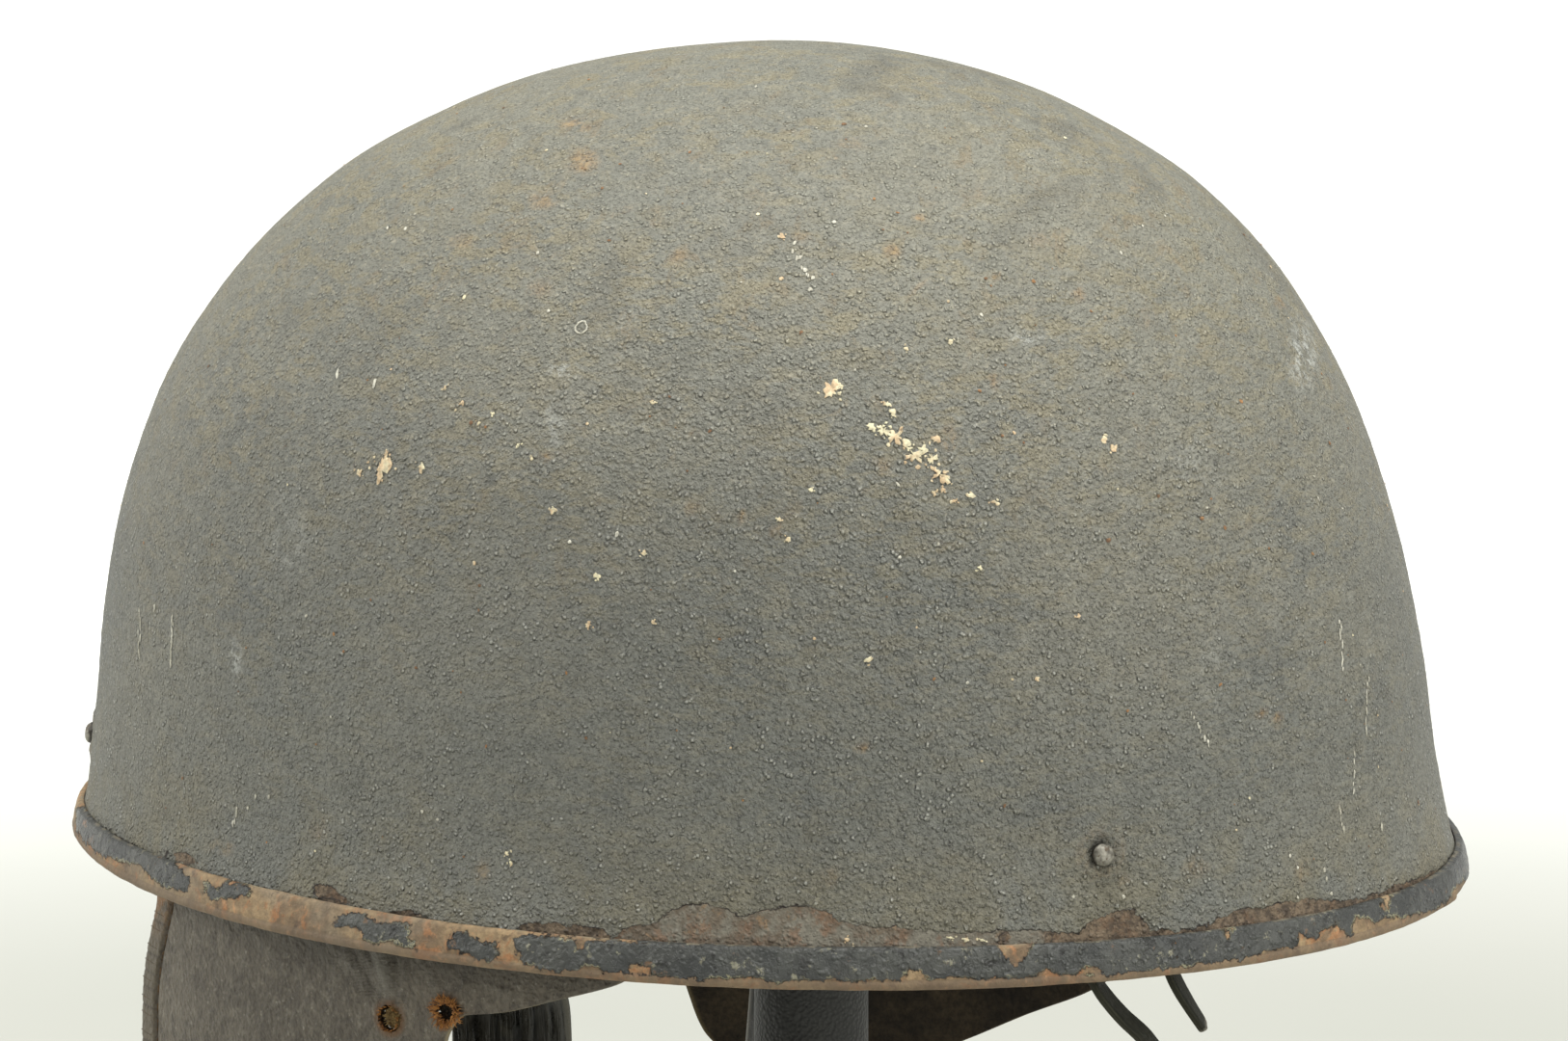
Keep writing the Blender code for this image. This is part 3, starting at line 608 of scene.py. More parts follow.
def band_material():
    s = Shader("worn_rim", roughness=0.55)
    a = s.noise(90, 6, 0.68, 0.5)
    fine = s.noise(620, 5, 0.68)
    grit = s.noise(1500, 3, 0.6)
    rust = s.mix(s.span(a, 0.38, 0.60), (0.168, 0.112, 0.064), (0.312, 0.220, 0.120))
    rust = s.mix(s.math("MULTIPLY", s.span(s.noise(170, 6, 0.72, 0.5), 0.51, 0.62), 0.85), rust, (0.325, 0.150, 0.062))
    rust = s.mix(s.math("MULTIPLY", s.span(s.noise(320, 5, 0.72, 0.3), 0.56, 0.66), 0.8), rust, (0.395, 0.215, 0.105))
    rust = s.mix(s.math("MULTIPLY", s.span(s.noise(260, 5, 0.7, 0.6), 0.57, 0.68), 0.75), rust, (0.092, 0.058, 0.038))
    rust = s.mix(s.math("MULTIPLY", s.span(s.noise(46, 4), 0.53, 0.64), 0.5), rust, (0.190, 0.158, 0.115))
    rust = s.scale_colour(rust, s.span(fine, 0.32, 0.68, 0.74, 1.22))
    rust = s.mix(s.math("MULTIPLY", s.field("roll"), 0.6), rust, (0.150, 0.108, 0.072))
    dots = s.span(s.cells(820, "F1"), 0.10, 0.50, 1.0, 0.0)
    lumps = s.math("ADD", s.math("MULTIPLY", dots, s.span(s.noise(300, 3, 0.6), 0.40, 0.60)),
                   s.math("MULTIPLY", s.span(s.noise(420, 4, 0.6, 0.4), 0.42, 0.60), 0.5))
    paint = s.mix(s.span(s.noise(60, 4, 0.6), 0.35, 0.65), (0.040, 0.043, 0.042), (0.078, 0.080, 0.072))
    # painted shade and highlight: the paint is lighter on its lumps and darker between them
    paint = s.scale_colour(paint, s.span(lumps, 0.0, 1.2, 0.70, 1.35))
    paint = s.mix(s.math("MULTIPLY", s.span(s.noise(380, 5, 0.72), 0.60, 0.68), 0.7), paint, (0.30, 0.285, 0.20))
    paint = s.mix(s.math("MULTIPLY", s.span(s.noise(170, 5, 0.7), 0.61, 0.69), 0.8), paint, (0.22, 0.120, 0.060))
    # near-black spots: painted shade of the crevices in the paint
    paint = s.mix(s.math("MULTIPLY", s.span(s.noise(300, 4, 0.6, 0.5), 0.59, 0.65), 0.8), paint, (0.014, 0.014, 0.013))
    edge = s.math("ADD", s.math("MULTIPLY", s.math("SUBTRACT", s.noise(240, 6, 0.7), 0.5), 4.2),
                  s.math("MULTIPLY", s.math("SUBTRACT", s.noise(900, 4, 0.7), 0.5), 2.4))
    mm = s.math("ADD", s.field("paint"), edge)
    there = s.span(mm, -0.05, 0.07)
    colour = s.mix(there, rust, paint)
    # the broken edge of the paint is pale in places and dark in others
    border = s.math("MULTIPLY", s.span(mm, 0.0, 0.10), s.span(mm, 0.16, 0.46, 1.0, 0.0))
    colour = s.mix(s.math("MULTIPLY", border, s.span(s.noise(150, 3), 0.48, 0.56)), colour, (0.30, 0.28, 0.175))
    colour = s.mix(s.math("MULTIPLY", border, s.span(s.noise(170, 3, 0.5, 0.3), 0.48, 0.54, 0.0, 0.95)), colour, (0.016, 0.016, 0.014))
    # painted shade on the rust just outside the edge of the paint
    shade = s.math("MULTIPLY", s.span(mm, -0.34, -0.02), s.span(mm, 0.0, 0.06, 1.0, 0.0))
    colour = s.mix(s.math("MULTIPLY", shade, 0.8), colour, (0.042, 0.028, 0.019))
    # the worn top lip is paler, partly wear and partly a painted highlight, and the joint against the shell is
    # darkened with dirt and painted shade
    colour = s.mix(s.math("MULTIPLY", s.field("lip"), s.span(s.noise(200, 4), 0.50, 0.62)), colour, (0.235, 0.200, 0.135))
    colour = s.mix(s.field("joint_shade_and_dirt"), colour, (0.020, 0.015, 0.011))
    s.set("Base Color", colour)
    s.set("Roughness", s.mix(there, (0.72, 0.72, 0.72), (0.38, 0.38, 0.38)))
    n1 = s.bump(there, 0.00036)
    n2 = s.bump(s.math("MULTIPLY", lumps, there), 0.00040, normal=n1)
    n3 = s.bump(s.math("ADD", fine, s.math("MULTIPLY", grit, 0.5)), 0.00034, normal=n2)
    s.set("Normal", n3)
    return s.mat


def rivet_material():
    s = Shader("rivet_steel", roughness=0.38, metallic=0.35)
    colour = s.mix(s.span(s.noise(500, 5), 0.36, 0.62), (0.070, 0.062, 0.050), (0.300, 0.285, 0.240))
    colour = s.mix(s.span(s.noise(900, 4), 0.56, 0.66), colour, (0.10, 0.075, 0.052))
    # painted shade round the steep edge of the head and on the shank
    colour = s.mix(s.field("side"), colour, (0.020, 0.017, 0.014))
    s.set("Base Color", colour)
    s.set("Normal", s.bump(s.noise(1500, 4), 0.0003))
    return s.mat


def flap_material():
    s = Shader("dry_leather", roughness=0.58, specular=0.4)
    blotch = s.noise(26, 4, 0.6)
    fine = s.noise(420, 5, 0.66)
    pores = s.cells(1050, smooth=0.3)
    creases = s.noise(210, 6, 0.70, 1.2, vector=s.stretched(1.0, 1.0, 0.70))
    hairs = s.noise(900, 4, 0.65, 0.6, vector=s.stretched(1.0, 1.0, 0.75))
    colour = s.mix(s.span(blotch, 0.34, 0.66), (0.091, 0.077, 0.058), (0.134, 0.114, 0.085))
    colour = s.mix(s.math("MULTIPLY", s.span(fine, 0.50, 0.64), 0.55), colour, (0.185, 0.165, 0.128))
    colour = s.mix(s.math("MULTIPLY", s.span(s.noise(640, 4, 0.7), 0.60, 0.68), 0.7), colour, (0.260, 0.240, 0.195))
    colour = s.mix(s.math("MULTIPLY", s.span(creases, 0.50, 0.60), 0.50), colour, (0.050, 0.040, 0.030))
    colour = s.scale_colour(colour, s.span(hairs, 0.34, 0.66, 0.82, 1.18))
    colour = s.mix(s.math("MULTIPLY", s.span(pores, 0.0, 0.25, 1.0, 0.0), 0.45), colour, (0.045, 0.037, 0.028))
    # painted highlight along the crease ridges and painted shade in the troughs beside them
    colour = s.mix(s.math("MULTIPLY", s.field("crease_highlight"), 0.90), colour, (0.255, 0.240, 0.200))
    colour = s.mix(s.math("MULTIPLY", s.field("crease_shade"), 0.35), colour, (0.045, 0.036, 0.027))
    # painted shade under the rim, rust brought down from the rim onto the hem, and stains round the holes
    hem = s.field("hem")
    z = s.height()
    # painted shade: the leather darkens towards the top, under the rim
    colour = s.scale_colour(colour, s.span(z, RIM_Z - 0.011, RIM_Z + 0.001, 1.0, 0.55))
    colour = s.mix(s.math("MULTIPLY", hem, 0.65), colour, (0.105, 0.083, 0.050))
    top = s.math("MULTIPLY", hem, s.span(z, RIM_Z - 0.016, RIM_Z - 0.001))
    colour = s.mix(s.math("MULTIPLY", top, s.span(s.noise(150, 4), 0.38, 0.55)), colour, (0.280, 0.140, 0.050))
    colour = s.mix(s.math("MULTIPLY", s.field("groove"), 0.85), colour, (0.036, 0.024, 0.014))
    colour = s.mix(s.math("MULTIPLY", s.field("stain"), s.span(fine, 0.30, 0.52), clamp=True), colour, (0.130, 0.066, 0.026))
    # suede inside; the cut edge is pale, partly the leather's own colour and partly a painted highlight
    inner = s.field("inner")
    nap = s.noise(700, 5, 0.7)
    suede = s.mix(s.span(s.noise(60, 5, 0.6), 0.36, 0.64), (0.014, 0.010, 0.006), (0.046, 0.033, 0.018))
    suede = s.scale_colour(suede, s.span(nap, 0.3, 0.7, 0.6, 1.4))
    colour = s.mix(inner, colour, suede)
    # pale cut edge: partly its own colour, partly a painted highlight
    cut = s.span(s.field("edge"), 0.10, 0.60, 1.0, 0.0)
    colour = s.mix(s.math("MULTIPLY", cut, s.span(s.noise(240, 4), 0.32, 0.56)), colour,
                   s.mix(inner, (0.250, 0.205, 0.125), (0.105, 0.080, 0.046)))
    colour = s.mix(s.math("MULTIPLY", s.field("hem_edge"), 0.85), colour, (0.100, 0.074, 0.034))
    s.set("Base Color", colour)
    s.set("Roughness", s.mix(inner, (0.52, 0.52, 0.52), (0.92, 0.92, 0.92)))
    n1 = s.bump(s.math("ADD", creases, s.math("ADD", s.math("MULTIPLY", fine, 0.5), s.math("MULTIPLY", hairs, 0.5))), 0.00095)
    n2 = s.bump(s.math("ADD", pores, s.math("MULTIPLY", nap, 0.7)), 0.00034, normal=n1)
    s.set("Normal", n2)
    return s.mat


def thread_material(name, colour_a, colour_b):
    s = Shader(name, roughness=0.75, specular=0.3)
    s.set("Base Color", s.mix(s.span(s.noise(900, 4), 0.38, 0.62), colour_a, colour_b))
    s.set("Normal", s.bump(s.noise(3500, 2), 0.0001))
    return s.mat


def strap_material():
    s = Shader("polished_strap", roughness=0.3, specular=0.55)
    u, v = s.field("across"), s.field("along")
    streak = s.noise(1.0, 4, 0.6, 0.3, vector=s.join(s.math("MULTIPLY", u, 6.5), s.math("MULTIPLY", v, 26.0), 0.0))
    colour = s.mix(s.span(streak, 0.36, 0.62), (0.006, 0.006, 0.005), (0.036, 0.033, 0.026))
    colour = s.mix(s.math("MULTIPLY", s.span(s.noise(160, 5), 0.58, 0.70), 0.4), colour, (0.080, 0.072, 0.050))
    colour = s.mix(s.math("MULTIPLY", s.field("rim"), 0.7), colour, (0.085, 0.075, 0.048))
    s.set("Base Color", colour)
    s.set("Roughness", s.span(s.noise(300, 4), 0.35, 0.65, 0.22, 0.44))
    n1 = s.bump(streak, 0.0008)
    s.set("Normal", s.bump(s.noise(900, 4), 0.00012, normal=n1))
    return s.mat


def lace_material():
    s = Shader("dark_lace", roughness=0.6, specular=0.2)
    u, v = s.field("across"), s.field("along")
    fibre = s.noise(1.0, 4, 0.6, vector=s.join(s.math("MULTIPLY", u, 7.0), s.math("MULTIPLY", v, 90.0), 0.0))
    colour = s.mix(s.span(fibre, 0.36, 0.64), (0.009, 0.0095, 0.005), (0.028, 0.028, 0.017))
    colour = s.mix(s.math("MULTIPLY", s.field("rim"), 0.4), colour, (0.045, 0.043, 0.028))
    colour = s.mix(s.field("tip"), colour, (0.150, 0.140, 0.110))
    s.set("Base Color", colour)
    s.set("Normal", s.bump(s.math("ADD", fibre, s.noise(900, 4)), 0.00030))
    return s.mat


def buckle_material():
    s = Shader("worn_buckle", roughness=0.36, metallic=0.85)
    colour = s.mix(s.span(s.noise(160, 5), 0.40, 0.62), (0.30, 0.275, 0.225), (0.50, 0.47, 0.40))
    colour = s.mix(s.span(s.noise(420, 5, 0.7), 0.60, 0.70), colour, (0.15, 0.095, 0.055))
    s.set("Base Color", colour)
    s.set("Roughness", s.span(s.noise(500, 4), 0.3, 0.7, 0.26, 0.55))
    s.set("Normal", s.bump(s.noise(1400, 3, vector=s.stretched(1, 0.2, 1)), 0.00008))
    return s.mat


def post_material():
    s = Shader("fine_grained_paint", roughness=0.55, specular=0.4)
    grain = s.cells(1250, smooth=0.4)
    colour = s.mix(s.span(s.noise(40, 4), 0.35, 0.65), (0.020, 0.020, 0.019), (0.034, 0.034, 0.031))
    colour = s.scale_colour(colour, s.span(grain, 0.0, 0.5, 1.3, 0.75))
    colour = s.mix(s.math("MULTIPLY", s.span(s.noise(330, 5, 0.75), 0.70, 0.74), 0.6), colour, (0.30, 0.29, 0.25))
    s.set("Base Color", colour)
    s.set("Normal", s.bump(grain, 0.00035, strength=0.9))
    return s.mat


def wood_material():
    s = Shader("black_stained_wood", roughness=0.42, specular=0.45)
    grain = s.noise(1.0, 6, 0.6, 1.4, vector=s.stretched(34, 260, 260))
    pores = s.noise(1.0, 3, 0.7, vector=s.stretched(120, 1500, 1500))
    colour = s.mix(s.span(grain, 0.36, 0.64), (0.020, 0.018, 0.015), (0.058, 0.050, 0.041))
    colour = s.mix(s.math("MULTIPLY", s.span(pores, 0.60, 0.70), 0.7), colour, (0.010, 0.009, 0.008))
    s.set("Base Color", colour)
    s.set("Roughness", s.span(grain, 0.3, 0.7, 0.52, 0.34))
    s.set("Normal", s.bump(s.math("SUBTRACT", grain, pores), 0.00016))
    return s.mat


def chip_material(name, light, dark, rough):
    s = Shader(name, roughness=rough)
    colour = s.mix(s.span(s.noise(240, 5, 0.7), 0.42, 0.58), light, dark)
    colour = s.scale_colour(colour, s.span(s.noise(1100, 4, 0.65), 0.34, 0.6, 0.66, 1.08))
    s.set("Base Color", colour)
    s.set("Normal", s.bump(s.noise(1200, 4), 0.0002))
    return s.mat


# ================================================================= mesh helpers
def mesh_object(name, verts, faces, mat, fields=None, smooth=True, sharp=None):
    mesh = bpy.data.meshes.new(name)
    mesh.from_pydata(np.asarray(verts).tolist(), [], [list(map(int, f)) for f in faces])
    mesh.materials.append(mat)
    for key, values in (fields or {}).items():
        layer = mesh.attributes.new(key, "FLOAT", "POINT")
        layer.data.foreach_set("value", np.asarray(values, np.float32))
    mesh.update()
    if smooth:
        mesh.shade_smooth()
        if sharp is not None:
            mesh.set_sharp_from_angle(angle=math.radians(sharp))
    obj = bpy.data.objects.new(name, mesh)
    bpy.context.scene.collection.objects.link(obj)
    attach(obj, "root")
    return obj


def grid_faces(rows, columns, wrap=False, start=0, flip=False):
    """Quads of a grid whose vertices are stored row by row."""
    cols = columns if wrap else columns - 1
    r, c = np.meshgrid(np.arange(rows - 1), np.arange(cols), indexing="ij")
    a = r * columns + c
    b = r * columns + (c + 1) % columns
    q = np.stack([a, b, b + columns, a + columns], axis=-1).reshape(-1, 4) + start
    return q[:, ::-1] if flip else q


def lathe(name, centre, axis, profile, sides, mat, fields=None, sharp=35, wobble=0.0):
    """Turned solid; profile rows are (radius, height along the axis), from the top down."""
    axis = Vector(axis).normalized()
    turn = axis.to_track_quat("Z", "Y").to_matrix()
    verts, extra = [], []
    for k, (r, z) in enumerate(profile):
        for i in range(sides):
            a = 2 * math.pi * i / sides
            rr = r * (1 + wobble * noise.noise(Vector((math.cos(a) * 2, math.sin(a) * 2, k * 0.4))))
            p = Vector(centre) + turn @ Vector((rr * math.cos(a), rr * math.sin(a), z))
            verts.append(tuple(p))
            extra.append(k)
    faces = [list(f) for f in grid_faces(len(profile), sides, wrap=True, flip=True)]
    top, bottom = len(verts), len(verts) + 1
    verts.append(tuple(Vector(centre) + axis * profile[0][1]))
    verts.append(tuple(Vector(centre) + axis * profile[-1][1]))
    last = (len(profile) - 1) * sides
    for i in range(sides):
        j = (i + 1) % sides
        faces.append([top, i, j])
        faces.append([bottom, last + j, last + i])
    values = {}
    for key, per_row in (fields or {}).items():
        values[key] = [per_row[k] for k in extra] + [per_row[0], per_row[-1]]
    return mesh_object(name, verts, faces, mat, values, sharp=sharp)


def smooth_path(points, steps):
    """Points evenly spread along a Catmull-Rom curve through the given ones."""
    pts = [Vector(p) for p in points]
    ext = [pts[0] * 2 - pts[1]] + pts + [pts[-1] * 2 - pts[-2]]
    dense = []
    for i in range(1, len(ext) - 2):
        p0, p1, p2, p3 = ext[i - 1:i + 3]
        for k in range(24):
            t = k / 24
            dense.append(0.5 * ((2 * p1) + (p2 - p0) * t + (2 * p0 - 5 * p1 + 4 * p2 - p3) * t * t
                                + (3 * p1 - p0 - 3 * p2 + p3) * t**3))
    dense.append(pts[-1])
    lengths = [0.0]
    for a, b in zip(dense, dense[1:]):
        lengths.append(lengths[-1] + (b - a).length)
    out = []
    j = 0
    for k in range(steps + 1):
        want = lengths[-1] * k / steps
        while j < len(lengths) - 2 and lengths[j + 1] < want:
            j += 1
        t = (want - lengths[j]) / (lengths[j + 1] - lengths[j])
        out.append(dense[j].lerp(dense[j + 1], min(max(t, 0.0), 1.0)))
    return out


def to_world(row):
    return Vector((row[0] * MM, row[1] * MM, RIM_Z + row[2] * MM))


def path_length(path):
    return sum((b - a).length for a, b in zip(path, path[1:]))


class Tubes:
    """Many thin tapered tubes in one mesh, for thread and fibre."""

    def __init__(self):
        self.verts, self.faces = [], []

    def add(self, points, radii, sides=6):
        start = len(self.verts)
        count = len(points)
        ref = Vector((0.31, 0.22, 0.92))
        for i, p in enumerate(points):
            tangent = (points[min(i + 1, count - 1)] - points[max(i - 1, 0)]).normalized()
            a = tangent.cross(ref)
            if a.length < 0.1:
                a = tangent.cross(Vector((1, 0, 0)))
            a.normalize()
            b = tangent.cross(a)
            for k in range(sides):
                w = 2 * math.pi * k / sides
                self.verts.append(tuple(p + (a * math.cos(w) + b * math.sin(w)) * radii[i]))
        self.faces += [list(f) for f in grid_faces(count, sides, wrap=True, start=start)]
        self.faces.append(list(range(start, start + sides))[::-1])
        self.faces.append(list(range(start + (count - 1) * sides, start + count * sides)))

    def build(self, name, mat, slot):
        return mesh_object(name, self.verts, self.faces, mat, sharp=50)


# ================================================================= the steel shell
# Places where the paint has flaked above the rim: outlines in photo pixels.
BARE_PX = [
    [(630, 978), (646, 962), (682, 958), (688, 947), (711, 937), (735, 940), (753, 943), (765, 951),
     (778, 949), (791, 945), (806, 941), (830, 937), (849, 943), (868, 953), (891, 960), (925, 962),
     (990, 966), (1032, 966), (1090, 964), (1090, 985), (880, 990), (640, 990)],
    [(318, 938), (330, 931), (356, 938), (372, 947), (470, 962), (470, 975), (330, 950)],
]
BROWN_PX = [
    [(173, 885), (181, 882), (200, 888.6), (206.7, 896.5), (210, 903), (197, 898), (181, 893)],
    [(326, 919), (340.6, 919), (356.6, 931.6), (366, 941), (356.6, 939), (331, 933.6), (324.7, 928.4)],
    [(398, 953), (404, 947.5), (423.5, 944), (442.6, 954), (446, 963), (420, 957)],
    [(536, 966), (538, 960), (560, 957), (604, 962), (625, 964), (640, 978), (544, 974)],
    [(1036, 978), (1040, 968), (1045, 965), (1052, 977)],
    [(1082, 976), (1086, 969), (1124, 968), (1126, 958), (1148, 950), (1162, 943), (1176, 944),
     (1186, 956), (1196, 964), (1233, 966), (1249, 959), (1272, 948), (1288, 943), (1304, 940),
     (1322, 940), (1341, 936), (1350, 932), (1370.5, 932), (1387, 934), (1410, 932), (1432.5, 925),
     (1455, 916), (1490, 902), (1500, 900), (1500, 912), (1410, 950), (1240, 985), (1084, 990)],
    [(110, 861), (128, 872), (150, 884), (172, 893), (172, 900), (140, 890), (112, 872)],
]
STAINS_PX = [
    # x, y, radius_x, radius_y, strength
    (599, 129, 20, 8, 0.7), (605, 167, 18, 15, 0.75), (564, 208, 17, 10, 0.65), (679, 228, 8, 7, 0.6),
    (704, 266, 10, 8, 0.5), (953, 228, 8, 7, 0.8), (926, 260, 11, 9, 0.7), (1033, 288, 5, 5, 0.8),
    (984, 455, 9, 14, 0.95), (804, 552, 7, 6, 0.6), (769, 536, 6, 6, 0.9), (565, 476, 6, 5, 0.9),
    (1030, 395, 8, 8, 0.9), (1308, 740, 6, 6, 0.9), (1325, 746, 6, 6, 0.9), (895, 775, 8, 6, 0.8),
    (1327, 315, 7, 7, 0.9), (560, 300, 14, 10, 0.4), (1080, 250, 16, 10, 0.35), (480, 250, 15, 9, 0.4),
    (1118, 306, 9, 7, 0.5), (1010, 200, 14, 9, 0.35), (720, 450, 7, 6, 0.4), (716, 527, 7, 7, 0.4),
    (915, 484, 12, 10, 0.35), (938, 700, 8, 8, 0.3), (500, 905, 9, 14, 0.4), (230, 880, 14, 8, 0.45),
    (330, 860, 10, 14, 0.3), (1352, 905, 10, 14, 0.35), (1240, 900, 14, 12, 0.3), (860, 910, 14, 10, 0.3),
    (1165, 912, 8, 10, 0.35), (830, 243, 12, 9, 0.4), (880, 150, 18, 8, 0.3), (1190, 330, 12, 12, 0.35),
]
SCUFFS_PX = [
    # x, y, radius_x, radius_y, strength
    (1350, 370, 18, 38, 0.75), (245, 682, 7, 24, 0.7), (1065, 350, 26, 7, 0.55), (585, 386, 20, 9, 0.7),
    (575, 440, 14, 30, 0.35), (1260, 700, 20, 40, 0.25), (300, 560, 22, 50, 0.22), (1230, 480, 20, 30, 0.2),
]


def ellipses(px, table):
    out = np.zeros(len(px))
    for x, y, rx, ry, strength in table:
        d = np.hypot((px[:, 0] - x) / rx, (px[:, 1] - y) / ry)
        out = np.maximum(out, strength * (1 - smoothstep(d, 0.35, 1.25)))
    return out


def shell_fields(points, normals):
    """Marks of the shell at each vertex, read from the photo where it shows the place."""
    px = to_px(points)
    facing = np.einsum("ij,ij->i", normals, (EYE - points) / np.linalg.norm(EYE - points, axis=1)[:, None])
    seen = facing > 0.02
    h = (points[:, 2] - RIM_Z) / MM
    bare, brown = np.full(len(points), -6.0), np.full(len(points), -6.0)
    for outline in BARE_PX:
        bare[seen] = np.maximum(bare[seen], outline_distance(px[seen], outline) / PX_PER_MM)
    for outline in BROWN_PX:
        brown[seen] = np.maximum(brown[seen], outline_distance(px[seen], outline) / PX_PER_MM)
    # on the sides that the photo doesn't show, the same kind of flaking runs above the rim
    hidden = ~seen
    along = np.arctan2(points[hidden][:, 1] - AXIS_Y, points[hidden][:, 0])
    ring = np.stack([np.cos(along), np.sin(along), np.zeros(len(along))], axis=-1)
    reach_a = 11.5 + 7.0 * noise3(ring, 5.0, 3.1) + 2.0 * noise3(ring, 21.0, 7.7)
    reach_b = 10.0 + 7.5 * noise3(ring, 6.0, 9.1) + 2.0 * noise3(ring, 24.0, 1.3)
    bare[hidden] = np.minimum(reach_a - h[hidden], 3.0)
    brown[hidden] = np.minimum(reach_b - h[hidden], 3.0)
    stain = np.where(seen, ellipses(px, STAINS_PX), 0.0)
    scuff = np.where(seen, ellipses(px, SCUFFS_PX), 0.0)
    far = smoothstep(noise3(points, 38, 5.5), 0.30, 0.55) * 0.35
    stain = np.where(seen, stain, far)
    scuff = np.where(seen, scuff, smoothstep(noise3(points, 30, 15.5), 0.35, 0.6) * 0.2)
    rivet_ring_dirt_and_shade = np.zeros(len(points))
    ring_height = np.zeros(len(points))
    for _, side, angle_deg, height_mm in RIVETS:
        place, _ = rivet_place(side, angle_deg, height_mm)
        d = np.linalg.norm(points - np.array(place), axis=1) / MM
        # the dark ring at the edge of each head: partly dirt, partly painted shade in the joint
        rivet_ring_dirt_and_shade = np.maximum(rivet_ring_dirt_and_shade, (1 - smoothstep(np.abs(d - 2.30), 0.10, 0.45)) * 0.65)
        ring_height += 0.50 * np.exp(-(((d - 3.8) / 0.7) ** 2)) - 0.30 * (1 - smoothstep(d, 2.2, 3.2))
        stain = np.maximum(stain, 0.32 * (1 - smoothstep(np.abs(d - 3.7), 0.2, 1.6)))
    return {"bare": bare, "brown": brown, "stain": stain, "scuff": scuff, "rivet_ring_dirt_and_shade": rivet_ring_dirt_and_shade}, ring_height


def shell_relief(points, fields, ring_height):
    """How far the paint stands out from the smooth shell, mm."""
    h = (points[:, 2] - RIM_Z) / MM
    rough = np.interp(h, [0, 60, 110, 157], [1.0, 0.95, 0.6, 0.4])
    flat = smoothstep(np.maximum(fields["bare"], fields["brown"]), -0.4, 0.4)
    wide = 0.30 * noise3(points, 34) + 0.06 * noise3(points, 95, 4.0)
    lumps = 0.06 * noise3(points, 330, 2.0) + 0.11 * noise3(points, 620, 8.0)
    return wide + (0.06 + lumps) * rough * (1 - 0.8 * flat) - 0.16 * flat + ring_height


def shell_columns():
    """Plan angles, closer together on the side that the photo shows."""
    fine, coarse = 1.14, 2.5
    angles = np.linspace(0, 2 * math.pi, 4001)
    ring = plan_points(60.0, angles)
    step = np.linalg.norm(np.diff(ring, axis=0), axis=1) / MM
    mid = np.degrees((angles[1:] + angles[:-1]) / 2)
    off = np.abs((mid - 27.0 + 180) % 360 - 180)
    density = 1 / (fine + (coarse - fine) * smoothstep(off, 86, 104))
    total = np.concatenate([[0], np.cumsum(step * density)])
    count = int(round(total[-1]))
    return np.interp(np.arange(count) * total[-1] / count, total, angles)


def make_shell():
    angles = shell_columns()
    hs = np.linspace(1.6, CROWN_H, 4000)
    side = plan_points(hs, math.pi / 4)
    run = np.concatenate([[0], np.cumsum(np.linalg.norm(np.diff(side, axis=0), axis=1))]) / MM
    rows = 182
    heights = np.interp(np.linspace(0, run[-1] - 1.1, rows), run, hs)
    hh, aa = np.meshgrid(heights, angles, indexing="ij")
    hh, aa = hh.ravel(), aa.ravel()
    points = plan_points(hh, aa)
    normals = shell_normals(hh, aa)
    fields, ring_height = shell_fields(points, normals)
    relief = shell_relief(points, fields, ring_height)
    relief *= smoothstep(hh, 2.0, 5.5)
    verts = points + normals * (relief * MM)[:, None]
    apex = np.array([[0.0, AXIS_Y, RIM_Z + CROWN_H * MM]])
    count = len(angles)
    faces = [list(f) for f in grid_faces(rows, count, wrap=True)]
    last = (rows - 1) * count
    for i in range(count):
        faces.append([last + i, last + (i + 1) % count, rows * count])
    fields = {k: np.append(v, v[-1]) for k, v in fields.items()}
    shell = mesh_object("shell_outside", np.vstack([verts, apex]), faces, shell_material(),
                        fields)
    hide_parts("steel_shell")

    # inner face and the edge of the sheet
    cols = np.linspace(0, 2 * math.pi, 180, endpoint=False)
    rows_in = np.interp(np.linspace(0, run[-1] - 1.2, 70), run, hs)
    hh, aa = np.meshgrid(rows_in, cols, indexing="ij")
    hh, aa = hh.ravel(), aa.ravel()
    inner = plan_points(hh, aa) - shell_normals(hh, aa) * STEEL
    edge = plan_points(np.full(180, 1.6), cols) - shell_normals(np.full(180, 1.6), cols) * 0.0001
    verts = np.vstack([edge, inner, [[0.0, AXIS_Y, RIM_Z + CROWN_H * MM - STEEL]]])
    faces = [list(f) for f in grid_faces(71, 180, wrap=True, flip=True)]
    last = 70 * 180
    for i in range(180):
        faces.append([last + (i + 1) % 180, last + i, 71 * 180])
    mesh_object("shell_inside", verts, faces, lining_side_material(), sharp=40)
    return shell


